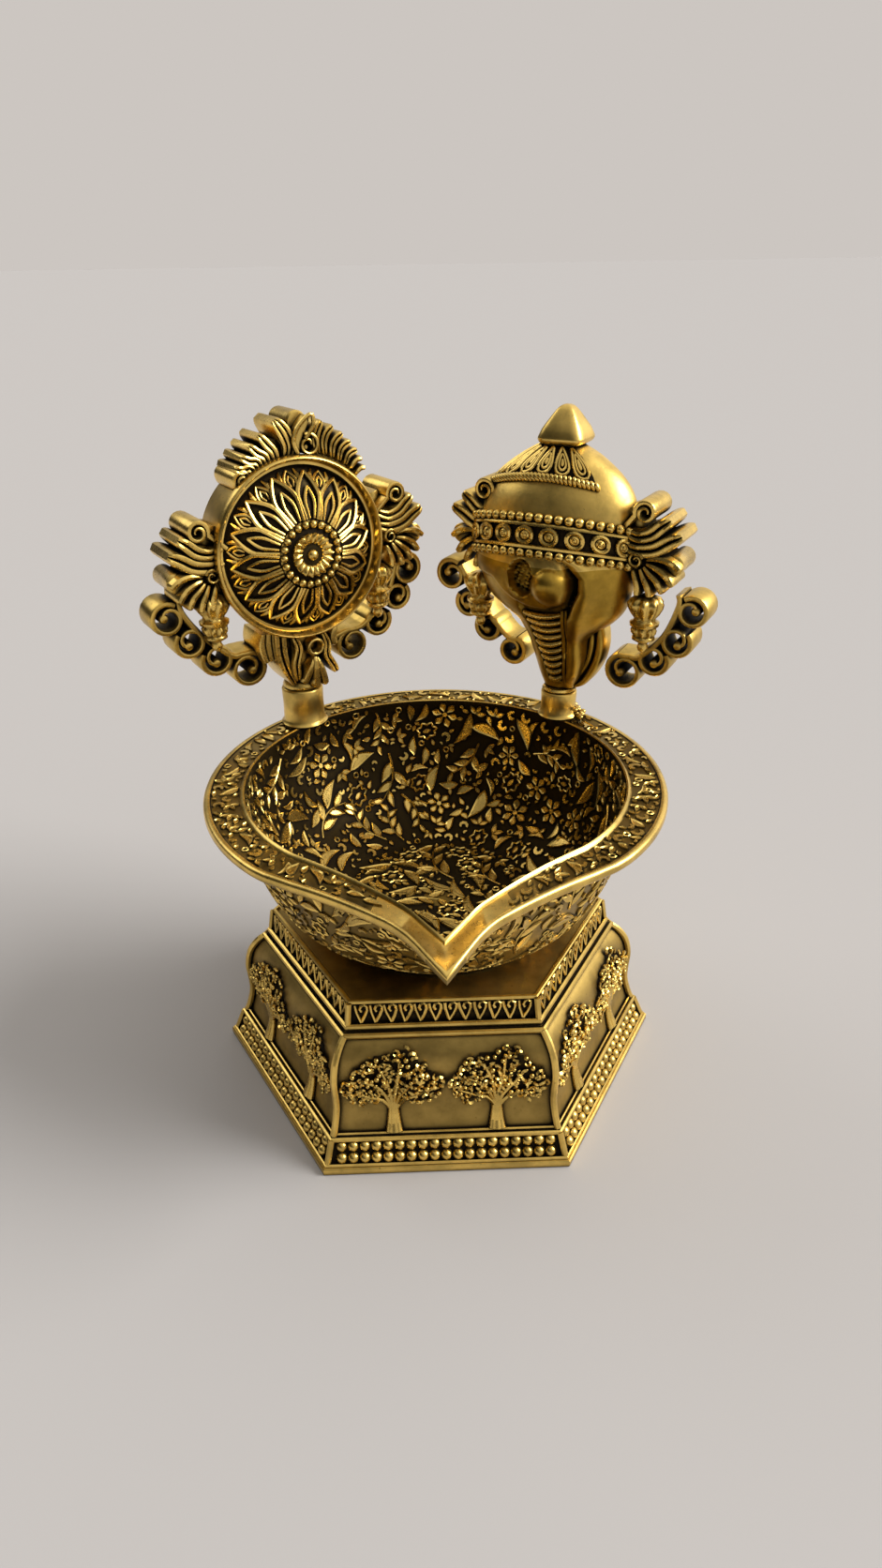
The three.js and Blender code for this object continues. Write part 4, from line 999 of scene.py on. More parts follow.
class EngravedZone:
    """A stretch of the bowl's surface: places and outward directions on a fine grid."""

    def __init__(self, line):
        levels = even_levels(line)
        self.length = (len(levels) - 1) * grid_step
        around = [2 * math.pi * i / grid_turns for i in range(grid_turns + 1)]
        self.places = [[bowl_point(turn, *level) for turn in around] for level in levels]
        self.outs = []
        for v in range(len(levels)):
            above, below = self.places[min(v + 1, len(levels) - 1)], self.places[max(v - 1, 0)]
            row = []
            for u in range(grid_turns + 1):
                along = above[u] - below[u]
                round_it = self.places[v][(u + 1) % grid_turns] - self.places[v][(u - 1) % grid_turns]
                row.append(round_it.cross(along).normalized())
            self.outs.append(row)

    def at(self, turn, along, out):
        """A place on the stretch, from a turn, a way along it and a height over it."""
        u = (turn / (2 * math.pi) * grid_turns) % grid_turns
        v = min(max(along / grid_step, 0), len(self.places) - 1.001)
        i, j = int(u), int(v)
        s, t = u - i, v - j
        place = (self.places[j][i] * (1 - s) + self.places[j][i + 1] * s) * (1 - t) + (
            self.places[j + 1][i] * (1 - s) + self.places[j + 1][i + 1] * s) * t
        return place + (self.outs[j][i] * (1 - s) + self.outs[j][i + 1] * s) * out

    def round_reach(self, turn, along):
        """How far one radian of turn goes here."""
        step = 0.02
        return (self.at(turn + step, along, 0) - self.at(turn - step, along, 0)).length / (2 * step)


class FlatZone:
    """The bowl's round floor."""

    def __init__(self, radius, height, sag):
        self.radius, self.height, self.sag = radius, height, sag

    def at(self, across, along, out):
        share = math.hypot(across, along) / self.radius
        return bowl_middle + Vector((across, along, self.height - (1 - share) * self.sag + out))


def cell_of(place):
    return tuple(int(math.floor(c / search_cell)) for c in place)


def is_clear(taken, place, reach):
    """True where no circle already taken comes within reach of a place."""
    here = cell_of(place)
    for steps in itertools.product((-1, 0, 1), repeat=3):
        near = tuple(c + step for c, step in zip(here, steps))
        for other, other_radius in taken.get(near, ()):
            if (place - other).length < reach + other_radius:
                return False
    return True


def engrave(bm, spots, taken, motifs, gap, tries, most):
    """Scatters motifs over spots of a zone so that none touches another."""
    added = 0
    for _ in range(tries):
        if added >= most:
            break
        shape, circles = chance.choice(motifs)
        size = chance.uniform(*motif_sizes)
        turn = chance.uniform(0, 2 * math.pi)
        put = spots(room_share * size * mm * max(abs(x) + radius for x, radius in circles))
        if not put:
            continue
        covered = []
        for x, radius in circles:
            reach = x * mm * size
            covered.append((put(reach * math.cos(turn), reach * math.sin(turn), 0), radius * mm * size))
        if not all(is_clear(taken, place, radius + gap) for place, radius in covered):
            continue
        for place, radius in covered:
            taken.setdefault(cell_of(place), []).append((place, radius))
        added += 1
        lie = Matrix.Rotation(turn, 4, "Z") @ Matrix.Scale(size, 4)
        for vert in stamp(bm, shape, lie):
            vert.co = put(vert.co.x, vert.co.y, vert.co.z)


def wall_spots(zone, plain_turn=0):
    """Draws a spot on a zone round the bowl, with room to its edges and the lip left plain."""
    def spots(room):
        turn = chance.uniform(0, 2 * math.pi)
        edge = min(room, zone.length / 2)
        along = chance.uniform(edge, zone.length - edge)
        if min(turn, 2 * math.pi - turn) < plain_turn:
            return None
        reach = zone.round_reach(turn, along)
        if chance.random() * widest_reach > reach:
            return None
        return lambda x, y, z: zone.at(turn + x / reach, min(max(along + y, 0), zone.length), z)
    return spots


def floor_spots(zone):
    """Draws a spot on the bowl's floor, with room to its edge."""
    def spots(room):
        turn = chance.uniform(0, 2 * math.pi)
        reach = max(zone.radius - room, 0) * math.sqrt(chance.random())
        across, along = reach * math.cos(turn), reach * math.sin(turn)
        return lambda x, y, z: zone.at(across + x, along + y, z)
    return spots


def engraved(name, zone_spots, rounds, seed):
    """Covers zones in rounds of (motifs, gap, tries, most), the large motifs first."""
    chance.seed(seed)
    bm = bmesh.new()
    taken = {}
    for spots in zone_spots:
        for motifs, gap, tries, most in rounds:
            engrave(bm, spots, taken, motifs, gap, tries, most)
    shown(name, bm, "lamp", [raised_brass], crease=25)


inner_zone = EngravedZone([(rim_inner, rim_height - 0.5 * mm, 1)] + inner_line)
outer_zone = EngravedZone(outer_line)
rim_zone = EngravedZone([(rim_radius - 1.8 * mm, rim_ground, 1), (rim_inner + 1.3 * mm, rim_ground, 1)])
floor_zone = FlatZone(floor_radius, floor_height, bowl_wall / 2)
bowl_rounds = [
    (large_motifs, 0.1 * mm, 1500, 90), (middle_motifs, 0.05 * mm, 7000, 560),
    (small_motifs, 0.02 * mm, 16000, 1300),
]
rim_rounds = [(middle_motifs, 0.02 * mm, 5000, 300), (small_motifs, 0.01 * mm, 9000, 600)]
engraved("bowl_inside_relief", [floor_spots(floor_zone), wall_spots(inner_zone)], bowl_rounds, 11)
engraved("bowl_outside_relief", [wall_spots(outer_zone)], bowl_rounds, 12)
engraved("rim_relief", [wall_spots(rim_zone, plain_lip)], rim_rounds, 13)

# Fasteners under the bowl: a stud brazed to the foot, and the washer and nut that clamp it
# to the plinth. The solids keep their shapes and get a zinc-grey steel with a satin grain.
steel_colour = (0.5, 0.5, 0.49, 1)
steel_grain = 900
steel_smooth = 0.28
steel_rough = 0.48
steel = bpy.data.materials.new("zinc_steel")
steel.use_nodes = True
tree = steel.node_tree
shader = tree.nodes["Principled BSDF"]
shader.inputs["Base Color"].default_value = steel_colour
shader.inputs["Metallic"].default_value = 1
where = tree.nodes.new("ShaderNodeTexCoord")
texture = tree.nodes.new("ShaderNodeTexNoise")
texture.inputs["Scale"].default_value = steel_grain
tree.links.new(where.outputs["Object"], texture.inputs["Vector"])
ramp = tree.nodes.new("ShaderNodeMapRange")
ramp.inputs["To Min"].default_value = steel_smooth
ramp.inputs["To Max"].default_value = steel_rough
tree.links.new(texture.outputs["Fac"], ramp.inputs["Value"])
tree.links.new(ramp.outputs["Result"], shader.inputs["Roughness"])
for node in ("bowl_stud", "stud_washer", "stud_nut"):
    for material_slot in frame["nodes"][node].material_slots:
        material_slot.material = steel

# Sockets: two short tubes brazed upright on the rim, the disc's wider and taller. Spatters
# of brazing metal lie round the foot of the conch's.
socket_bore = 3.4 * mm
socket_round = 0.5 * mm
braze_foot = 0.7 * mm
spatter_drops = 26
spatter_start = -40
spatter_sweep = 110
spatter_reach = (0, 1.9)
spatter_rise = (0, 2.4)
spatter_lumps = (0.35, 0.85)
spatter_slope = 2.2 * mm
spatter_shift = 1 * mm
tube_brass = old_brass(
    "tube_brass", gold, reach=1.2 * mm, clear=0.6, shine=0.3, dull=0.5, grain=0.45, cloudy=0.3,
)
for node in ("disc_socket", "conch_socket"):
    low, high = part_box(node)
    radius = (high.x - low.x) / 2
    socket_middle = Vector(((low.x + high.x) / 2, (low.y + high.y) / 2, 0))
    bm = bmesh.new()
    spun(bm, [
        (socket_bore, low.z), (radius + braze_foot, low.z), (radius + braze_foot / 2, low.z + braze_foot / 2),
        (radius, low.z + braze_foot * 1.3), (radius - 0.1 * mm, (low.z + high.z) / 2),
        (radius, high.z - socket_round), (radius - socket_round / 3, high.z - socket_round / 3),
        (radius - socket_round, high.z), (socket_bore, high.z), (socket_bore, low.z),
    ], 48, socket_middle)
    shown(node + "_tube", bm, "lamp", [tube_brass], [node], crease=50)

chance.seed(21)
bm = bmesh.new()
for k in range(spatter_drops):
    turn = math.radians(spatter_start + spatter_sweep * chance.random())
    reach = radius + chance.uniform(*spatter_reach) * mm
    lump = chance.uniform(*spatter_lumps) * mm
    rise = chance.uniform(*spatter_rise) * mm * (1 - (reach - radius) / spatter_slope)
    across = Vector((reach * math.cos(turn), reach * math.sin(turn) - spatter_shift, low.z + rise))
    spot = socket_middle + across
    place = Matrix.Translation(spot) @ Matrix.Diagonal((lump, lump, lump * 0.75, 1))
    bmesh.ops.create_uvsphere(bm, u_segments=8, v_segments=6, radius=1, matrix=place)
shown("braze_spatter", bm, "lamp", [raised_brass])

# Emblem of the disc: a thick turned drum of brass with a rounded ring brazed round its
# face, set upright on a pin that turns in its socket. Its front looks forward and a little
# inward.
toe_in = math.radians(30.9)
disc_rise = 36.2
drum_radius = 20.4
drum_edge = 0.9
face_front = 6
ring_outer = 21.3
ring_inner = 19.7
ring_height = 2
medallion_radius = 18.8
medallion_play = 0.3
dome_seat = 5.2
dome_height = 7.6
face_steps = 96
drum_profile = [
    (0, -face_front), (drum_radius - 3, -face_front), (drum_radius - drum_edge, -face_front + 0.1),
    (drum_radius - 0.25, -face_front + 0.3), (drum_radius, -face_front + drum_edge),
    (drum_radius, face_front - 0.3), (medallion_radius + medallion_play, face_front - 0.3),
    (medallion_radius + medallion_play, 4), (0, 4),
]
ring_shares = [
    (0, -0.1), (0.08, 0.2), (0.3, 0.5), (0.45, 0.86), (0.62, 1), (0.8, 0.92), (0.94, 0.66), (1, 0.3),
    (1, -0.1), (0, -0.1),
]
ring_profile = [
    (ring_inner + across * (ring_outer - ring_inner), face_front + up * ring_height)
    for across, up in ring_shares
]


def standing(joint_name, turn):
    """The frame of an emblem: X across it, -Y out of its face, Z up from its socket."""
    joint = next(joint for joint in frame["joints"] if joint["name"] == joint_name)
    return Matrix.Translation(joint["pos_m"]) @ Matrix.Rotation(turn, 4, "Z")


disc_stand = standing("disc_swivel", toe_in)
conch_stand = standing("conch_swivel", -toe_in)
facing = Matrix.Rotation(math.pi / 2, 4, "X")


def at_face(x, z, out):
    """A place in an emblem's frame, from millimetres across, up and out of its face."""
    return Vector((x, -out, z)) * mm


def swept(bm, steps, around, place):
    """A tube skinned over a grid whose points go where place(step, turn of the section) says."""
    own = bmesh.new()
    for vert in bmesh.ops.create_grid(own, x_segments=steps, y_segments=around, size=1)["verts"]:
        i = round((vert.co.x + 1) / 2 * steps)
        k = round((vert.co.y + 1) / 2 * around)
        vert.co = place(i, k % around)
    bmesh.ops.remove_doubles(own, verts=own.verts, dist=weld)
    bmesh.ops.holes_fill(own, edges=own.edges, sides=0)
    bmesh.ops.recalc_face_normals(own, faces=own.faces)
    join(bm, own)


def faced(bm, profile, steps, x, z):
    """A revolve of (radius, out) points in millimetres, looking out of the emblem's face."""
    own = bmesh.new()
    spun(own, [(radius * mm, out * mm) for radius, out in profile], steps, Vector())
    bmesh.ops.transform(own, verts=own.verts, matrix=Matrix.Translation(at_face(x, z, 0)) @ facing)
    join(bm, own)


def emblem_piece(name, bm, stand, finish, cad, crease=38):
    """Sets a finished piece in its emblem's frame and gives it to the body that turns."""
    bmesh.ops.transform(bm, verts=bm.verts, matrix=stand)
    body = "disc_emblem" if stand is disc_stand else "conch_emblem"
    finishes = finish if isinstance(finish, list) else [finish]
    shown(name, bm, body, finishes, cad, crease)


bm = bmesh.new()
faced(bm, drum_profile, face_steps, 0, disc_rise)
emblem_piece("disc_drum_casting", bm, disc_stand, tube_brass, ["disc_drum"])
bm = bmesh.new()
faced(bm, ring_profile, face_steps, 0, disc_rise)
emblem_piece("disc_ring", bm, disc_stand, worn_brass, ["disc_face_ring"], crease=60)

# Medallion: a domed brass plate of fourteen pointed petals, each of an outer and an inner
# wire with a dark slit between, and a second tier of small petals and spurs behind them.
petal_count = 14
petal_foot = 7.9
petal_tip = 17.7
petal_half_width = 2.7
petal_shares = [(0, 0.52), (0.2, 0.72), (0.5, 1), (0.7, 0.8), (0.87, 0.4), (1, 0)]
petal_wire = 0.52
inner_wire = 0.38
inner_share = 0.42
tier_foot = 13.6
tier_tip = 18.1
tier_half_width = 1.5
tier_wire = 0.34
tier_inner_half_width = 0.65
tier_inner_wire = 0.26
spur_turn = 0.125
spur_line = [(16.3, 0.01), (17.2, 0.004), (18.2, -0.022)]
spur_radii = [0.42 * mm, 0.5 * mm, 0.2 * mm]
dome_steps = 12
dome_bow = 30
plate_back = 4.2
plate_sunk = 0.45


def on_dome(radius, turn, out):
    """A place over the dome, from millimetres out from its middle and a turn round it."""
    share = radius / medallion_radius
    rise = dome_seat + dome_height * (1 - share * share)
    return at_face(radius * math.cos(turn), disc_rise + radius * math.sin(turn), rise + out)


def dome_out(point):
    return Vector((point.x / dome_bow, -1 * mm, (point.z - disc_rise * mm) / dome_bow)).normalized()


def petal_wires(bm, turn, foot, tip, half_width, wire, out):
    """The wires of one petal, one up each edge to the tip."""
    shares = smooth_through(petal_shares, 2)
    edge = [(foot + share * (tip - foot), half_width * wide) for share, wide in shares]
    last = len(edge) - 1
    radii = [wire * mm * (0.68 + 0.32 * math.sin(math.pi * i / last)) for i in range(last + 1)]
    for side in (-1, 1):
        path = [on_dome(r, turn + side * w / r, out) for r, w in edge]
        rod(bm, path, radii, 6, dome_out)


bm = bmesh.new()
dome_line = [(0, plate_back), (medallion_radius, plate_back)]
for i in range(dome_steps, -1, -1):
    share = i / dome_steps
    rise = dome_seat + dome_height * (1 - share * share) - plate_sunk
    dome_line.append((medallion_radius * share, rise))
faced(bm, dome_line, face_steps, 0, disc_rise)
emblem_piece("medallion_ground", bm, disc_stand, black_brass, ["lotus_medallion"])
bm = bmesh.new()
for k in range(petal_count):
    turn = 2 * math.pi * (k + 0.25) / petal_count
    petal_wires(bm, turn, petal_foot, petal_tip, petal_half_width, petal_wire, 0.15)
    petal_wires(bm, turn, petal_foot + 0.2, petal_tip - 3, petal_half_width * inner_share, inner_wire, 0.1)
    between = turn + math.pi / petal_count
    petal_wires(bm, between, tier_foot, tier_tip, tier_half_width, tier_wire, -0.2)
    petal_wires(bm, between, tier_foot + 1.2, tier_tip - 1.1, tier_inner_half_width, tier_inner_wire, -0.2)
    for side in (-1, 1):
        lean = between + side * spur_turn
        path = [on_dome(r, lean + side * bend, -0.15) for r, bend in spur_line]
        rod(bm, path, spur_radii, 5, dome_out)
emblem_piece("medallion_petals", bm, disc_stand, raised_brass, [], crease=50)

# Hub: a ring of beads, a dark groove and a fluted boss with a ball in its middle, cast as
# one and brazed on the dome.
hub_beads = 22
hub_bead_reach = 6.85
hub_bead_size = (1 * mm, 1.05 * mm, 0.86 * mm, 1)
hub_seat = 11.55
hub_rim = [(0, -0.6), (7.5, -0.6), (7.6, -0.2), (6.6, 0), (5.9, -0.5), (0, -0.4)]
hub_ball_radius = 1.3
boss_flutes = 18
boss_steps = boss_flutes * 6
flute_rise = 4
boss_shares = [
    (0.92, -0.6, 0), (1, 0.2, 0.01), (1.02, 0.9, 0.03), (0.96, 1.4, 0.07), (0.8, 1.5, 0.08),
    (0.62, 1.25, 0.07), (0.5, 0.6, 0.04), (0.44, -0.1, 0.01), (0.4, -0.6, 0),
]
boss_radius = 4.9
hub_bead_shape = ball_shape("hub_bead", 1, 10, 7)
bm = bmesh.new()
for k in range(hub_beads):
    turn = 2 * math.pi * k / hub_beads
    x, z = hub_bead_reach * math.cos(turn), hub_bead_reach * math.sin(turn)
    upright = Matrix.Translation(at_face(x, disc_rise + z, hub_seat + 0.1)) @ Matrix.Rotation(-turn, 4, "Y")
    stamp(bm, hub_bead_shape, upright @ Matrix.Diagonal(hub_bead_size))
faced(bm, [(reach, hub_seat + out) for reach, out in hub_rim], 64, 0, disc_rise)


def on_boss(i, k):
    share, out, flute = boss_shares[i]
    turn = 2 * math.pi * k / boss_steps
    reach = boss_radius * (share + flute * math.cos(boss_flutes * turn))
    rise = hub_seat + out + flute_rise * flute * math.cos(boss_flutes * turn)
    return at_face(reach * math.cos(turn), disc_rise + reach * math.sin(turn), rise)


swept(bm, len(boss_shares) - 1, boss_steps, on_boss)
place = Matrix.Translation(at_face(0, disc_rise, hub_seat + 0.7))
bmesh.ops.create_uvsphere(bm, u_segments=20, v_segments=12, radius=hub_ball_radius * mm, matrix=place)
emblem_piece("lotus_boss", bm, disc_stand, raised_brass, ["lotus_hub"], crease=50)

# Leaves of the emblems: thick brass castings whose fronts are crowned and grooved and whose
# smooth sides run straight back through the depth of the emblem.
leaf_taper = [(0, 0.55), (0.3, 0.9), (0.65, 1), (0.88, 0.8), (1, 0.42)]
finger_taper = [(0, 0.4), (0.35, 0.8), (0.7, 1), (0.9, 0.85), (1, 0.5)]
spiral_steps = 30
leaf_brass = old_brass(
    "leaf_brass", gold, reach=1.7 * mm, clear=0.86, shine=0.26, dull=0.55, grain=0.25, cloudy=0.15,
)


def grooved(ridges):
    """Across a leaf from edge to edge: places and how far each stands up."""
    section = [(-1, 0)]
    for k in range(ridges):
        middle = (2 * k + 1) / ridges - 1
        section += [(middle - 0.6 / ridges, 0.85), (middle, 1), (middle + 0.6 / ridges, 0.85)]
        if k + 1 < ridges:
            section.append((middle + 1 / ridges, 0))
    return section + [(1, 0)]


def leaf_blade(
    bm, line, half_width, ridges=2, front=face_front, back=-face_front, rise=1.1, taper=leaf_taper, side=1,
):
    """One leaf along a line of (x, z) points, its back at the given depth."""
    path = smooth_through(line, 5)
    widths = smooth_through(taper, 4)
    section = grooved(ridges) + [(1, None), (-1, None)]

    def place(i, k):
        t = i / (len(path) - 1)
        along = (path[min(i + 1, len(path) - 1)] - path[max(i - 1, 0)]).normalized()
        u, up = section[k]
        share = fit_share(widths, t)
        x, z = path[i] + Vector((-along.y, along.x)) * u * half_width * share
        out = back if up is None else front - rise + rise * up * min(1, share * 1.3)
        return at_face(side * x, z, out)

    swept(bm, len(path) - 1, len(section), place)


def curled_band(bm, line, front, back, side=1):
    """A band of (x, z, thickness) points with a rounded edge, as deep as front to back."""
    section = [(-1, -0.55), (-0.7, -0.12), (0, 0), (0.7, -0.12), (1, -0.55), (1, None), (-1, None)]

    def place(i, k):
        here = Vector(line[i][:2])
        along = (Vector(line[min(i + 1, len(line) - 1)][:2]) - Vector(line[max(i - 1, 0)][:2])).normalized()
        u, up = section[k]
        x, z = here + Vector((-along.y, along.x)) * u * line[i][2] / 2
        return at_face(side * x, z, back if up is None else front + up)

    swept(bm, len(line) - 1, len(section), place)


def spiral(x, z, radius, start, hand, turns, band, eye=0.3, close=1.7):
    """The middle line of a band that winds in from its outer radius to a small eye."""
    line = []
    for i in range(spiral_steps + 1):
        share = i / spiral_steps
        turn = math.radians(start) - hand * share * turns * 2 * math.pi
        reach = radius * (1 - (1 - eye) * share ** close)
        thick = min(band, reach - band / 4) * (1 - share / 3)
        middle = reach - thick / 2
        line.append((x + middle * math.cos(turn), z + middle * math.sin(turn), thick))
    return line


# Crest: one casting of leaves that fan out round the top of the disc, five stepped ones on
# the left, two tall ones with a curled eye between them and a rolled end behind their tips,
# and seven narrow ones on the right.
crest_leaves = [
    ([(-10.2, 52.6), (-12.0, 54.4), (-13.8, 53.6), (-13.6, 51.2)], 1.25, 2),
    ([(-9.0, 53.4), (-10.4, 55.4), (-12.2, 55.2), (-14.0, 55.8)], 1.25, 2),
    ([(-7.6, 54.2), (-8.6, 56.6), (-10.4, 57.0), (-12.2, 58.0)], 1.25, 2),
    ([(-6.0, 55.0), (-6.6, 57.4), (-8.4, 58.6), (-10.0, 60.2)], 1.25, 2),
    ([(-4.2, 55.6), (-4.4, 58.2), (-6.0, 60.2), (-7.6, 62.2)], 1.3, 2),
    ([(-1.6, 56.2), (-0.6, 59.2), (-1.6, 62.2), (-3.6, 65.0)], 1.9, 3),
    ([(1.4, 57.2), (1.2, 60.0), (2.4, 62.4), (4.4, 65.2)], 1.5, 1),
    ([(6.4, 57.0), (5.9, 59.8), (6.4, 61.8), (7.8, 64.0)], 1.15, 2),
    ([(8.2, 56.6), (8.0, 59.2), (8.8, 61.2), (10.6, 62.6)], 1.05, 2),
    ([(10.0, 55.8), (10.1, 58.2), (11.2, 59.8), (13.0, 60.8)], 1.05, 2),
    ([(11.7, 54.9), (12.1, 57.0), (13.3, 58.2), (15.0, 58.8)], 1, 2),
    ([(13.2, 53.9), (13.9, 55.6), (15.0, 56.4), (16.6, 56.8)], 0.95, 2),
    ([(14.6, 52.8), (15.4, 54.0), (16.4, 54.6), (17.8, 54.7)], 0.9, 1),
    ([(15.8, 51.4), (16.6, 52.2), (17.4, 52.6), (18.5, 52.5)], 0.85, 1),
]
crest_roll = (2.4, 63.9, 2.6)
crest_eye = (3.9, 59.3, 2.8)
crest_drop = [
    (1.0, 57.6), (0.2, 60.2), (1.2, 62.8), (3.4, 64.9), (5.2, 65.6), (5.4, 63.6), (4.4, 62), (3.2, 60.6),
]
crest_drop_radius = 0.5
crest_eye_band = 0.85
crest_eye_knob = [(0, 0), (0.75, 0), (0.75, 5.2), (0.45, 5.6), (0, 5.7)]
crest_back = -4.6
web_start = -36
web_sweep = 86
web_steps = 24
web_front = 3.6
web_inner = 21.2
web_reach = [(-36, 21.9), (-20, 23.2), (0, 25.6), (20, 25.2), (50, 22.6)]
bm = bmesh.new()
for line, half_width, ridges in crest_leaves:
    leaf_blade(bm, line, half_width, ridges, back=crest_back, rise=1.3)
x, z, radius = crest_roll
faced(bm, [(0, -6), (radius - 0.4, -6), (radius, -5.6), (radius, 3.4), (radius - 0.4, 3.9), (0, 4)], 32, x, z)
x, z, radius = crest_eye
crest_coil = spiral(x, z, radius, start=110, hand=1, turns=1.3, band=crest_eye_band)
curled_band(bm, crest_coil, face_front + 0.5, 2)
drop = [at_face(point.x, point.y, face_front + 0.2) for point in smooth_through(crest_drop, 3)]
rod(bm, drop, crest_drop_radius * mm, 7, forward)
faced(bm, crest_eye_knob, 16, x - 0.5, z - 0.6)


def crest_web(i, k):
    """The web that joins the leaves behind their feet."""
    angle = web_start + web_sweep * i / web_steps
    turn = math.radians(angle)
    reach = fit_share(web_reach, angle) if k in (1, 2) else web_inner
    out = web_front if k < 2 else crest_back
    return at_face(reach * math.sin(turn), disc_rise + reach * math.cos(turn), out)


swept(bm, web_steps, 4, crest_web)
emblem_piece("crest_leaves", bm, disc_stand, leaf_brass, ["disc_crest"])

# Side flames: a rolled band end on top, two long pointed leaves that sweep outward, a
# small curl, and five short fingers below over a rolled edge, cast as one. Each emblem
# has a pair, brazed to its sides.
long_leaf_shares = [
    ([(-0.03, 0.62), (0.18, 0.56), (0.4, 0.6), (0.56, 0.7), (0.7, 0.78)], 1.7, 2),
    ([(-0.03, 0.45), (0.2, 0.4), (0.48, 0.43), (0.7, 0.53), (0.9, 0.61)], 1.9, 2),
]
finger_shares = [
    [(0.36, 0.3), (0.55, 0.33), (0.76, 0.3), (0.93, 0.22)],
    [(0.36, 0.25), (0.52, 0.22), (0.7, 0.14), (0.82, 0.02)],
    [(0.32, 0.21), (0.45, 0.13), (0.58, 0.04), (0.66, -0.08)],
    [(0.26, 0.18), (0.34, 0.08), (0.42, -0.03), (0.46, -0.14)],
    [(0.14, 0.16), (0.2, 0.06), (0.24, -0.04), (0.24, -0.14)],
]
finger_half_width = 1.1
flame_eye = (0.2, 0.29)
flame_eye_radius = 2
flame_eye_band = 0.75
flame_eye_knob = [(0, 0), (0.6, 0), (0.6, 5), (0.3, 5.5), (0, 5.6)]
edge_roll = (0.78, 0.25)
edge_roll_profile = [(0, -6), (2.1, -6), (2.4, -5.6), (2.4, 3.8), (1.9, 4.2), (0, 4.3)]
root_shares = [(0, 0.02), (0.08, 0.3), (0.1, 0.6), (0.02, 0.86)]
middle_shares = [(0.05, 0.2), (0.3, 0.27), (0.62, 0.28)]
upper_shares = [(0.05, 0.5), (0.3, 0.49), (0.55, 0.58)]
roll_radius = 3
roll_band = 1.2
flame_roots = {"disc": 0, "conch": -0.05}
flame_places = {
    "disc_right": (21.6, 30.3, 26.3), "disc_left": (19.4, 27.9, 24.1),
    "conch_right": (16.8, 31.7, 20.8), "conch_left": (15.2, 33.4, 19.2),
}
flame_sizes = {"disc": (13.4, 18.4), "conch": (14.2, 19.4)}
emblem_sides = [
    (emblem, stand, name, side)
    for name, side in (("right", 1), ("left", -1))
    for emblem, stand in (("disc", disc_stand), ("conch", conch_stand))
]


def side_flames(emblem, name, side):
    foot_x, foot_z, roll_x = flame_places[f"{emblem}_{name}"]
    reach, height = flame_sizes[emblem]
    root = flame_roots[emblem]
    bm = bmesh.new()

    def line(shares):
        return [(foot_x + across * reach, foot_z + up * height) for across, up in shares]

    for shares, half_width, ridges in long_leaf_shares:
        leaf_blade(bm, line(shares), half_width, ridges, side=side)
    for shares in finger_shares:
        leaf_blade(bm, line(shares), finger_half_width, 1, back=-3, rise=1.5, taper=finger_taper, side=side)
    [(eye_x, eye_z), (edge_x, edge_z)] = line([flame_eye, edge_roll])
    eye_band = spiral(eye_x, eye_z, flame_eye_radius, start=20, hand=-1, turns=1.4, band=flame_eye_band)
    curled_band(bm, eye_band, face_front + 0.3, 2, side)
    faced(bm, flame_eye_knob, 14, side * eye_x, eye_z)
    faced(bm, edge_roll_profile, 28, side * edge_x, edge_z)
    root_line = line([(root + across, up) for across, up in root_shares])
    leaf_blade(bm, root_line, half_width=2.6, ridges=1, front=3, rise=0.6, side=side)
    leaf_blade(bm, line(middle_shares), half_width=2.4, ridges=1, front=3.4, rise=0.5, side=side)
    leaf_blade(bm, line(upper_shares), half_width=2, ridges=1, front=4, rise=0.5, side=side)
    roll_z = foot_z + height - roll_radius
    coil = spiral(
        roll_x, roll_z, roll_radius, start=200, hand=1, turns=1.6, band=roll_band, eye=0.28, close=1.5,
    )
    start = (foot_x - 1.5, foot_z + 0.6 * height, roll_band)
    curled_band(bm, [start] + coil, face_front, -face_front, side)
    return bm


for emblem, stand, name, side in emblem_sides:
    bm = side_flames(emblem, name, side)
    emblem_piece(f"{emblem}_flame_leaves_{name}", bm, stand, leaf_brass, [f"{emblem}_flames_{name}"])

# Scroll sprays: four bands wound into open curls with a round knob in each eye, strung on
# one curved band that runs down from the flames and in under the emblem. Cast in one.
scroll_band = 1.5
spray_front = 0.6
spray_back = -7.3
scroll_turns = 1.3
scroll_starts = (125, 40, 30, 110)
scroll_hands = (1, 1, 1, -1)
scroll_places = {
    "disc_right": [(32, 25, 4.4), (29, 18.4, 4), (22.9, 12.7, 4.2), (15, 8.1, 4.6)],
    "disc_left": [(32, 23.6, 4.3), (27.6, 17.1, 4.1), (21.6, 11.6, 4.3), (13.7, 7.6, 4.8)],
    "conch_right": [(32.3, 25.2, 4.1), (29.4, 17.4, 4.1), (24.2, 12, 4.2), (16.8, 8, 4.8)],
    "conch_left": [(31.4, 26.3, 4.4), (26.4, 19.3, 3.9), (20.6, 13.6, 4), (13.4, 8.4, 4.1)],
}
spray_head = (28.8, 28.8)
spray_feet = {"disc": [(9, 10.4)], "conch": []}
knob_radius = 1.2


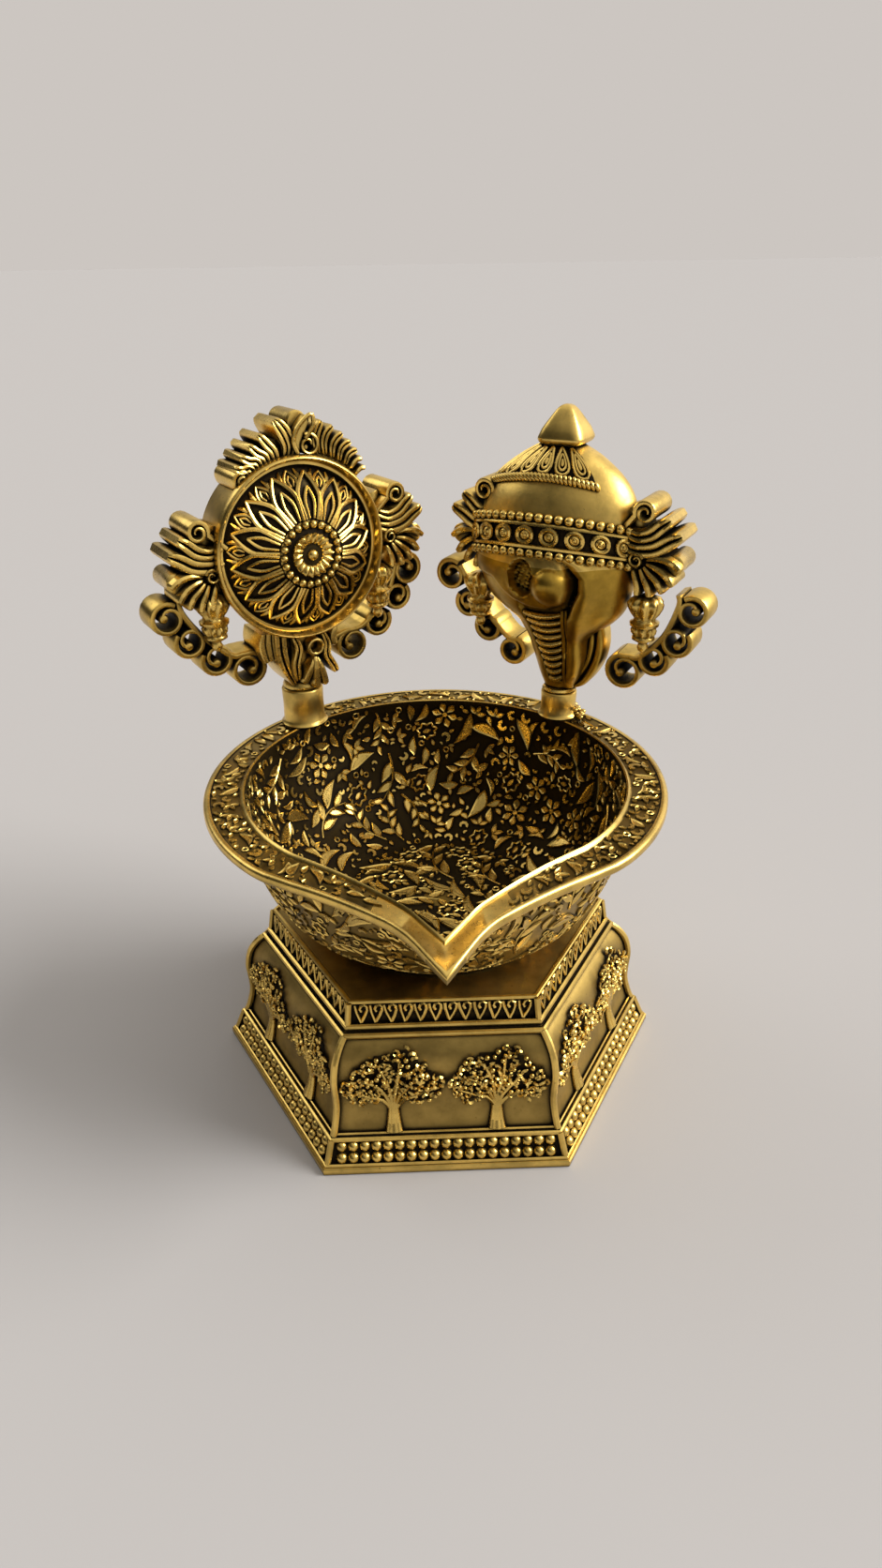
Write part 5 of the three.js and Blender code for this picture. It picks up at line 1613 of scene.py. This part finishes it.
def scroll_spray(scrolls, side, foot):
    """One spray from its four curls, each (x, z, radius), and the points that end its band."""
    bm = bmesh.new()
    for (x, z, radius), start, hand in zip(scrolls, scroll_starts, scroll_hands):
        coil = spiral(x, z, radius, start, hand, scroll_turns, scroll_band, close=3)
        curled_band(bm, coil, spray_front, spray_back, side)
        knob_x, knob_z, _ = coil[-1]
        faced(bm, [
            (0, spray_back), (knob_radius, spray_back), (knob_radius, 0), (knob_radius * 0.7, 0.55), (0, 0.8),
        ], 18, side * knob_x, knob_z)
    first, second, third, last = scrolls

    def beside(scroll, angle):
        reach = scroll[2] - scroll_band / 2
        turn = math.radians(angle)
        return scroll[0] + reach * math.cos(turn), scroll[1] + reach * math.sin(turn)

    stem = [
        spray_head, beside(first, 165), beside(second, 165), beside(third, 175),
        beside(last, 70), beside(last, 112), *foot,
    ]
    band = [(point.x, point.y, scroll_band) for point in smooth_through(stem, 5)]
    curled_band(bm, band, spray_front, spray_back, side)
    return bm


# The sprays lie set back among the emblem's other parts: their brass is toned darker and its blackening
# reaches 4 mm, painted shade between the parts over the patina of their hollows.
spray_shade_gold = (0.8, 0.54, 0.13, 1)
spray_shade_brass = old_brass(
    "spray_shade_brass", spray_shade_gold, reach=4 * mm, clear=0.8, shine=0.28, dull=0.55, grain=0.3, cloudy=0.2,
)
for emblem, stand, name, side in emblem_sides:
    bm = scroll_spray(scroll_places[f"{emblem}_{name}"], side, spray_feet[emblem])
    emblem_piece(f"{emblem}_scroll_spray_{name}", bm, stand, spray_shade_brass, [f"{emblem}_scrolls_{name}"])

# Pendants: a fluted lotus bud of cast brass that hangs from the flames, with a collar, a
# beaded band and a small drop at its end.
pendant_x = 21.8
pendant_top = 28.6
pendant_front = 2.2
pendant_length = 14.4
bud_radius = 4
pendant_shares = [
    (0.02, 0, 0), (0.26, 0.05, 0), (0.34, 0.11, 0), (0.26, 0.18, 0), (0.5, 0.22, 0), (0.68, 0.25, 0),
    (0.68, 0.29, 0), (0.58, 0.31, 0.04), (0.66, 0.36, 0.1), (0.7, 0.42, 0.1), (0.66, 0.46, 0.02),
    (0.86, 0.49, 0), (0.88, 0.54, 0), (0.66, 0.57, 0), (0.6, 0.61, 0.04), (0.78, 0.69, 0.09),
    (0.94, 0.79, 0.12), (0.98, 0.87, 0.13), (0.8, 0.95, 0.1), (0.4, 1, 0.02), (0.02, 1.01, 0),
]
bud_flutes = 9
bud_steps = bud_flutes * 6


def pendant(side):
    bm = bmesh.new()

    def place(i, k):
        share, up, flute = pendant_shares[i]
        turn = 2 * math.pi * k / bud_steps
        reach = bud_radius * (share + flute * math.cos(bud_flutes * turn))
        return at_face(
            side * pendant_x + reach * math.cos(turn), pendant_top - (1 - up) * pendant_length,
            pendant_front + reach * math.sin(turn),
        )

    swept(bm, len(pendant_shares) - 1, bud_steps, place)
    return bm


for emblem, stand, name, side in emblem_sides:
    bm = pendant(side)
    emblem_piece(f"{emblem}_bud_{name}", bm, stand, leaf_brass, [f"{emblem}_pendant_{name}"], crease=60)

# Stem of the disc: a turned pin with a shoulder, and cast over it the leaves that carry the
# drum, a broad plain one on the left, a ring and three drops in the middle, a hooked one right.
pin_radius = 3.1
disc_pin_foot = -9
shoulder_height = 0.3
disc_pin_profile = [
    (0, disc_pin_foot), (pin_radius, disc_pin_foot), (pin_radius, shoulder_height), (4.7, shoulder_height),
    (4.8, 0.9), (4.3, 1.9), (3.8, 2.4), (0, 2.4),
]
upper_leaves = [
    ([(0.5, 15.6), (0.4, 9), (0.3, 1.2)], 5.4, 1, 3.2, 0.8, [(0, 1), (0.4, 0.85), (1, 0.62)]),
    ([(-9.4, 16.6), (-9.6, 13.4), (-9.2, 9.6)], 2.5, 3, 4.2, 0.5, [(0, 0.8), (0.5, 1), (1, 0.75)]),
    (
        [(-6.6, 16), (-6.6, 11), (-5.6, 6.6), (-3.6, 2.2)], 1.9, 2, 4.8, 1.2,
        [(0, 1), (0.5, 0.9), (0.8, 0.6), (1, 0.3)],
    ),
    ([(-3.4, 15.2), (-2.4, 11.6), (-3.4, 7.6), (-3.2, 3.6)], 1.3, 2, 5.8, 1.1, leaf_taper),
    ([(4.6, 14.4), (5.4, 11.6), (5.2, 8.6), (6.9, 5.2), (7.4, 3.6)], 1.2, 2, 5.8, 1.1, leaf_taper),
    ([(8.6, 15.6), (7.6, 12.8), (8.2, 10.4)], 1.3, 1, 4.8, 1.1, leaf_taper),
]
middle_drops = [
    ([(1.6, 8.6), (0, 5.6), (-1.8, 2.6)], 1.3, 6.2, 1.5),
    ([(1.7, 9), (1.6, 4.8), (1.4, 0.9)], 1.4, 6.6, 1.6),
    ([(2.2, 8.6), (3.4, 5), (4.2, 1)], 1.3, 6.2, 1.5),
]
drops_back = -1
stem_ring = spiral(2.2, 11.4, 2.5, start=250, hand=1, turns=1.02, band=1.1, eye=0.8)


def pin(bm, profile):
    """A turned pin with its shoulder, from (radius, height) points in millimetres."""
    spun(bm, [(radius * mm, height * mm) for radius, height in profile], 40, Vector())


bm = bmesh.new()
pin(bm, disc_pin_profile)
for line, half_width, ridges, front, rise, taper in upper_leaves:
    leaf_blade(bm, line, half_width, ridges, front, rise=rise, taper=taper)
curled_band(bm, stem_ring, face_front, -2)
for line, half_width, front, rise in middle_drops:
    leaf_blade(bm, line, half_width, 1, front, drops_back, rise, finger_taper)
emblem_piece("disc_stem_leaves", bm, disc_stand, leaf_brass, ["disc_stem"])

# Conch: a thick cast shell, a full cup above a neck that narrows to its tip. On its front,
# under the band, a granular hollow and a ball lie left of a deep fold, and a broad smooth
# lobe sweeps down at its right.
conch_half_width = 20.8
conch_rise = 60.6
conch_shares = [
    (0.02, 0.01, 0.19, 0.14, 0.12), (0.08, 0.02, 0.27, 0.22, 0.17), (0.17, 0.01, 0.345, 0.29, 0.22),
    (0.245, -0.02, 0.39, 0.36, 0.27), (0.28, -0.01, 0.47, 0.385, 0.285), (0.315, 0.02, 0.585, 0.42, 0.31),
    (0.355, -0.01, 0.73, 0.47, 0.34), (0.4, -0.06, 0.855, 0.51, 0.37), (0.48, -0.09, 0.94, 0.6, 0.43),
    (0.57, -0.1, 0.98, 0.64, 0.46), (0.7, -0.11, 0.98, 0.62, 0.46), (0.81, -0.08, 0.88, 0.54, 0.44),
    (0.89, -0.06, 0.71, 0.42, 0.37), (0.96, -0.05, 0.44, 0.3, 0.3), (1, -0.05, 0.22, 0.2, 0.2),
]
shell_levels = 170
shell_sides = 250
band_low = 35
fold_line = [
    (3, 2), (8, 3), (13, 3.4), (18, 3.6), (22, 4), (26, 5.6), (29.5, 6.9), (33, 7), (36, 5), (39, 1),
]
fold_depths = [
    (3, 0.3), (8, 1), (18, 1.4), (24, 1.8), (27, 2.6), (28.5, 4.6), (32.5, 4.6), (34.5, 1.2), (38, 0),
]
fold_half = 0.8
fold_low = 3
fold_end = 39.5
swell_rise = 1.7
swell_beside = 3.1
swell_half = 2.2
lobe_edge = [
    (-14, 30.6), (-10.9, 27.5), (-8, 25.8), (-4.5, 24.7), (0, 24.5), (3.9, 26.4), (6.4, 30.4), (8, 34),
]
lobe_left = -14
lobe_top = 38
lobe_rise = 1.5
hollow_spot = (-5.4, 32)
hollow_half = (3.2, 4.4)
hollow_depth = 3
hollow_grain = 0.5
hollow_rim = 0.25
ball_spot = (1.9, 30.4)
shell_ball_radius = 5.1
ball_sunk = 1.4
rib_count = 10
rib_low = 4.4
rib_high = 24
rib_half_low = 1.7
rib_half_high = 5.4
rib_middle_low = 0.6
rib_middle_high = -1.9
rib_sunk = 1.5
shell_lines = [
    [(share[0] * conch_rise, share[c] * conch_half_width) for share in smooth_through(conch_shares, 6)]
    for c in range(1, 5)
]


def shell_at(height):
    """The shell's middle, half width, front and back at a height."""
    return [fit_share(line, height) for line in shell_lines]


def soft_step(value):
    """Rises softly from 0 to 1 as the value does."""
    value = min(max(value, 0), 1)
    return value * value * (3 - 2 * value)


def rib_place(height):
    """The middle and the half width of the ribs at a height."""
    share = min(max((height - rib_low) / (rib_high - rib_low), 0), 1)
    middle = rib_middle_low + share * (rib_middle_high - rib_middle_low)
    return middle, rib_half_low + share * (rib_half_high - rib_half_low)


def shell_relief(x, z):
    """How far the front of the shell stands out at a place, from its folds and hollows."""
    from_fold = x - fit_share(fold_line, max(z, fold_low))
    reach = soft_step((z - fold_low + 1) / 4) * soft_step((fold_end - z) / 3)
    out = swell_rise * math.exp(-((from_fold - swell_beside) / swell_half) ** 2) * reach

    lobe_foot = fit_share(lobe_edge, max(x, lobe_left))
    left_share = soft_step(-from_fold / fold_half)
    over_foot = soft_step((z - lobe_foot + 0.5) / 1.2)
    out += lobe_rise * left_share * over_foot * soft_step((lobe_top - z) / 5)

    hollow = math.hypot((x - hollow_spot[0]) / hollow_half[0], (z - hollow_spot[1]) / hollow_half[1])
    dent = soft_step((1.04 - hollow) / 0.18)
    grain = hollow_grain * math.sin(3.1 * x + 1.7 * z) * math.sin(3.9 * z - 1.3 * x)
    out += dent * (grain - hollow_depth) + hollow_rim * math.exp(-((hollow - 1.12) / 0.07) ** 2)

    from_ball = math.hypot(x - ball_spot[0], z - ball_spot[1])
    if from_ball < shell_ball_radius:
        ball = math.sqrt(shell_ball_radius ** 2 - from_ball ** 2)
        out = max(out, lobe_rise * 0.4 + ball - ball_sunk)
    out -= fit_share(fold_depths, max(z, fold_low)) * math.exp(-(from_fold / fold_half) ** 2)

    middle, half = rib_place(z)
    inside = soft_step((half + 0.5 - abs(x - middle)) / 0.9)
    below_lobe = soft_step((lobe_foot - z) / 0.8)
    return out - rib_sunk * inside * soft_step((z - rib_low + 1) / 1.5) * below_lobe


def on_shell(turn, z, out=0):
    """A place on the shell: turn runs from 0 at its right over its front to pi at its left."""
    middle, half, front, back = shell_at(z)
    deep = front if math.sin(turn) > 0 else back
    return at_face(middle + (half + out) * math.cos(turn), z, (deep + out) * math.sin(turn))


def front_shell(x, z, out):
    """A place on the front of the shell, from where it lies across and up."""
    middle, half, front, _ = shell_at(z)
    return on_shell(math.acos(min(max((x - middle) / half, -0.999), 0.999)), z, out)


def shell_place(i, k):
    z = conch_rise * (0.02 + 0.98 * i / shell_levels)
    turn = 2 * math.pi * k / shell_sides
    point = on_shell(turn, z)
    facing_share = soft_step(math.sin(turn) * 2.5)
    if facing_share:
        point.y -= shell_relief(point.x / mm, z) * facing_share * mm
    return point


shell_brass = old_brass(
    "shell_brass", gold, reach=1.6 * mm, clear=0.72, shine=0.35, dull=0.5, grain=0.8, cloudy=0.35,
)
# The front of the shell below the band gets a darker, deeper brass: painted shade under the band.
band_shade_gold = (0.55, 0.34, 0.05, 1)
band_shade_brass = old_brass(
    "band_shade_brass", band_shade_gold, reach=1.8 * mm, clear=0.8, shine=0.32, dull=0.5, grain=0.6, cloudy=0.35,
)
back_lobe = [(9, 18.5), (9.3, 13.5), (8.3, 8.5), (5.8, 4), (3.4, 2.2)]
back_lobe_taper = [(0, 0.8), (0.3, 1), (0.8, 0.85), (1, 0.5)]
mouth_wires = [(0.5, 0.45), (1.3, 0.36)]
mouth_wire_foot = 3.4
mouth_wire_length = 21
mouth_wire_steps = 14
shell_faces, band_shade_faces = range(2)
bm = bmesh.new()
swept(bm, shell_levels, shell_sides, shell_place)
leaf_blade(
    bm, back_lobe, half_width=2.3, ridges=2, front=1.2, back=-4.4, rise=1.8, taper=back_lobe_taper,
)
for shift, wire in mouth_wires:
    path = []
    for i in range(mouth_wire_steps + 1):
        z = mouth_wire_foot + mouth_wire_length * i / mouth_wire_steps
        middle, half = rib_place(z)
        path.append(front_shell(middle + half + shift, z, 0.1))
    rod(bm, path, wire * mm, 6, forward)
# Faces on the front of the shell below the band take the painted shade.
for face in bm.faces:
    middle = face.calc_center_median()
    in_band_shade = middle.z < band_low * mm and middle.y < 0
    face.material_index = band_shade_faces if in_band_shade else shell_faces
emblem_piece("conch_shell_casting", bm, conch_stand, [shell_brass, band_shade_brass], ["conch_shell"], crease=60)

# Ribs: ten rounded brass bars across the slope below the ball, each sagging to the left,
# wide at the top and narrow at the tip.
rib_tilt = 0.3
rib_sag = 0.7
rib_steps = 10
bm = bmesh.new()
for k in range(rib_count):
    z = rib_low + (rib_high - rib_low) * (k + 0.3) / rib_count
    middle, half = rib_place(z)
    path = []
    radii = []
    for i in range(rib_steps + 1):
        t = 2 * i / rib_steps - 1
        height = z + rib_tilt * t - rib_sag * (1 - t * t)
        path.append(front_shell(middle + t * half, height, -0.3 - 0.3 * t * t))
        radii.append((0.35 + 0.42 * math.sin(math.pi * (0.1 + 0.8 * i / rib_steps))) * mm)
    rod(bm, path, radii, 8, forward)
emblem_piece("conch_rib_bars", bm, conch_stand, raised_brass, ["conch_ribs"], crease=60)

# Band: a brass strip bent round the shell, with two border lines, a row of pearls along
# each edge and a row of rings with a ball in each between the borders.
band_edge = 33.4
band_arch = 4.4
band_height = 9
band_middle = band_height / 2
band_start = math.radians(4)
band_end = math.radians(176)
band_steps = 90
band_inset = 0.2
band_profile = [
    (band_inset, -0.6), (band_inset, 0.5), (band_height - band_inset, 0.5), (band_height - band_inset, -0.6),
]
line_profile = [(-0.45, 0), (-0.45, 0.9), (-0.25, 1.2), (0.25, 1.2), (0.45, 0.9), (0.45, 0)]
line_heights = (2, 7)
pearl_spacing = 2.35
pearl_radius = 1.08
pearl_inset = 0.5
bullseye_spacing = 6
bullseye_radius = 1.75
bullseye_out = 0.7
bullseye_wire = 0.56 * mm
inner_ring_share = 0.4
inner_ring_wire = 0.42 * mm
bullseye_ball = 0.6 * mm


def band_place(turn, up, out):
    """A place on the band, up from its lower edge and out from the shell."""
    return on_shell(turn, band_edge + band_arch * math.sin(turn) + up, out)


def along_band(spacing, up):
    """Turns at even steps along the band."""
    spots = []
    last = band_place(band_start, up, 1)
    run = 0
    turn = band_start
    while turn < band_end:
        turn += math.radians(0.25)
        here = band_place(turn, up, 1)
        run += (here - last).length / mm
        last = here
        if run >= spacing:
            run = 0
            spots.append(turn)
    return spots


def band_strip(bm, profile, height=0):
    """A strip along the whole band with a profile of (up, out) points."""
    def place(i, k):
        up, out = profile[k]
        return band_place(band_start + (band_end - band_start) * i / band_steps, height + up, out)

    swept(bm, band_steps, len(profile), place)


pearl_shape = ball_shape("pearl", pearl_radius * mm, 12, 8)
bm = bmesh.new()
band_strip(bm, band_profile)
emblem_piece("conch_band_ground", bm, conch_stand, black_brass, ["conch_band"], crease=50)
bm = bmesh.new()
for up in line_heights:
    band_strip(bm, line_profile, up)
for up in (pearl_inset, band_height - pearl_inset):
    for turn in along_band(pearl_spacing, up):
        stamp(bm, pearl_shape, Matrix.Translation(band_place(turn, up, 0.85)))
for turn in along_band(bullseye_spacing, band_middle):
    spot = band_place(turn, band_middle, bullseye_out)
    ahead = (band_place(turn - 0.02, band_middle, bullseye_out) - spot).normalized()
    ring = [
        spot + bullseye_radius * mm * (ahead * 1.08 * math.cos(t) + upward * math.sin(t))
        for t in turns_round(18)
    ]
    inner = [spot + inner_ring_share * (point - spot) for point in ring]
    rod(bm, ring, bullseye_wire, 7, ahead.cross(upward), closed=True)
    rod(bm, inner, inner_ring_wire, 5, ahead.cross(upward), closed=True)
    place = Matrix.Translation(spot)
    bmesh.ops.create_uvsphere(bm, u_segments=10, v_segments=7, radius=bullseye_ball, matrix=place)
emblem_piece("conch_band_strip", bm, conch_stand, raised_brass, [], crease=50)

# Hood: a cast cap of double-rimmed petals over the front and left of the shell's top,
# hemmed with a twisted cord. The rest of the dome is plain.
hood_top = 60.6
hood_start = math.radians(47)
hood_end = math.radians(190)
hood_sweep = hood_end - hood_start
hood_steps = 40
hood_profile = [(0, -0.4), (0, 0.5), (0.25, 0.6), (0.5, 0.6), (0.75, 0.6), (1, 0.5), (1, -0.4)]
hood_petals = 7
hood_wires = [(0.95, 0.36, 0.9), (0.52, 0.29, 0.9), (0.1, 0.3, 0.8)]
hood_wire_steps = 18
hood_lean = Vector((0, -1, 0.4))
hem_height = 50.4
hem_arch = 4.2
hem_out = 0.85
cord_turns = 38
cord_lay = math.radians(38)
cord_strand = (0.55, 0.85, 1.1, 1)


def hem_at(turn):
    return hem_height + hem_arch * math.sin(turn * 1.05 - 0.15)


def hood_place(i, k):
    turn = hood_start + hood_sweep * i / hood_steps
    share, out = hood_profile[k]
    low = hem_at(turn)
    return on_shell(turn, low + (hood_top - low) * share, out)


bm = bmesh.new()
swept(bm, hood_steps, len(hood_profile), hood_place)
emblem_piece("conch_hood_ground", bm, conch_stand, ground_brass, ["conch_hood"], crease=50)

bm = bmesh.new()
for k in range(hood_petals):
    middle = hood_start + hood_sweep * (k + 0.5) / hood_petals
    half = hood_sweep / hood_petals / 2
    for size, wire, lift in hood_wires:
        low = hem_at(middle) + 0.8 + (1 - size) * 2.2
        high = hood_top - (1 - size) * 2.6
        path = []
        for t in turns_round(hood_wire_steps):
            along = 0.5 + 0.5 * math.cos(t)
            wide = math.sin(t) * (0.75 - 0.25 * math.cos(t)) * size * half
            path.append(on_shell(middle + wide, low + (high - low) * along, lift))
        rod(bm, path, wire * mm, 6, hood_lean, closed=True)
for k in range(cord_turns):
    turn = hood_start + hood_sweep * k / (cord_turns - 1)
    spot = on_shell(turn, hem_at(turn), hem_out)
    ahead = on_shell(turn + 0.02, hem_at(turn + 0.02), hem_out) - spot
    lean = ahead.to_track_quat("X", "Z").to_matrix().to_4x4() @ Matrix.Rotation(cord_lay, 4, "Y")
    stamp(bm, pearl_shape, Matrix.Translation(spot) @ lean @ Matrix.Diagonal(cord_strand))
emblem_piece("conch_hood_petals", bm, conch_stand, raised_brass, [], crease=50)

# Finial: a rounded four-sided pyramid on a short waist at the top of the shell, cast in
# brass, filed smooth and brazed on.
finial_middle = -1.04
finial_half_width = 5.6
finial_foot = 60.5
finial_height = 8.8
finial_corner = 5.5
finial_shares = [
    (0.3, 0), (0.66, 0), (0.8, 0.04), (0.95, 0.1), (1, 0.17), (0.99, 0.22), (0.86, 0.42), (0.7, 0.58),
    (0.53, 0.74), (0.38, 0.87), (0.26, 0.95), (0.14, 0.99), (0.04, 1),
]
finial_sides = 72


def finial_place(i, k):
    share, up = finial_shares[i]
    turn = 2 * math.pi * k / finial_sides
    across, deep = math.cos(turn), math.sin(turn)
    square = (abs(across) ** finial_corner + abs(deep) ** finial_corner) ** (-1 / finial_corner)
    reach = share * finial_half_width * square
    return at_face(finial_middle + reach * across, finial_foot + up * finial_height, reach * deep)


bm = bmesh.new()
swept(bm, len(finial_shares) - 1, finial_sides, finial_place)
emblem_piece("finial_knob", bm, conch_stand, tube_brass, ["conch_finial"], crease=60)

# Stem of the conch: a turned brass pin with a low shoulder under the shell's tip. It turns
# in its socket, as the disc's does.
conch_pin_foot = -6.2
conch_pin_profile = [
    (0, conch_pin_foot), (pin_radius, conch_pin_foot), (pin_radius, shoulder_height),
    (4.3, shoulder_height), (4.4, 0.5), (4, 1), (2.8, 1.2), (0, 1.2),
]
bm = bmesh.new()
pin(bm, conch_pin_profile)
emblem_piece("conch_stem_pin", bm, conch_stand, raised_brass, ["conch_stem"])
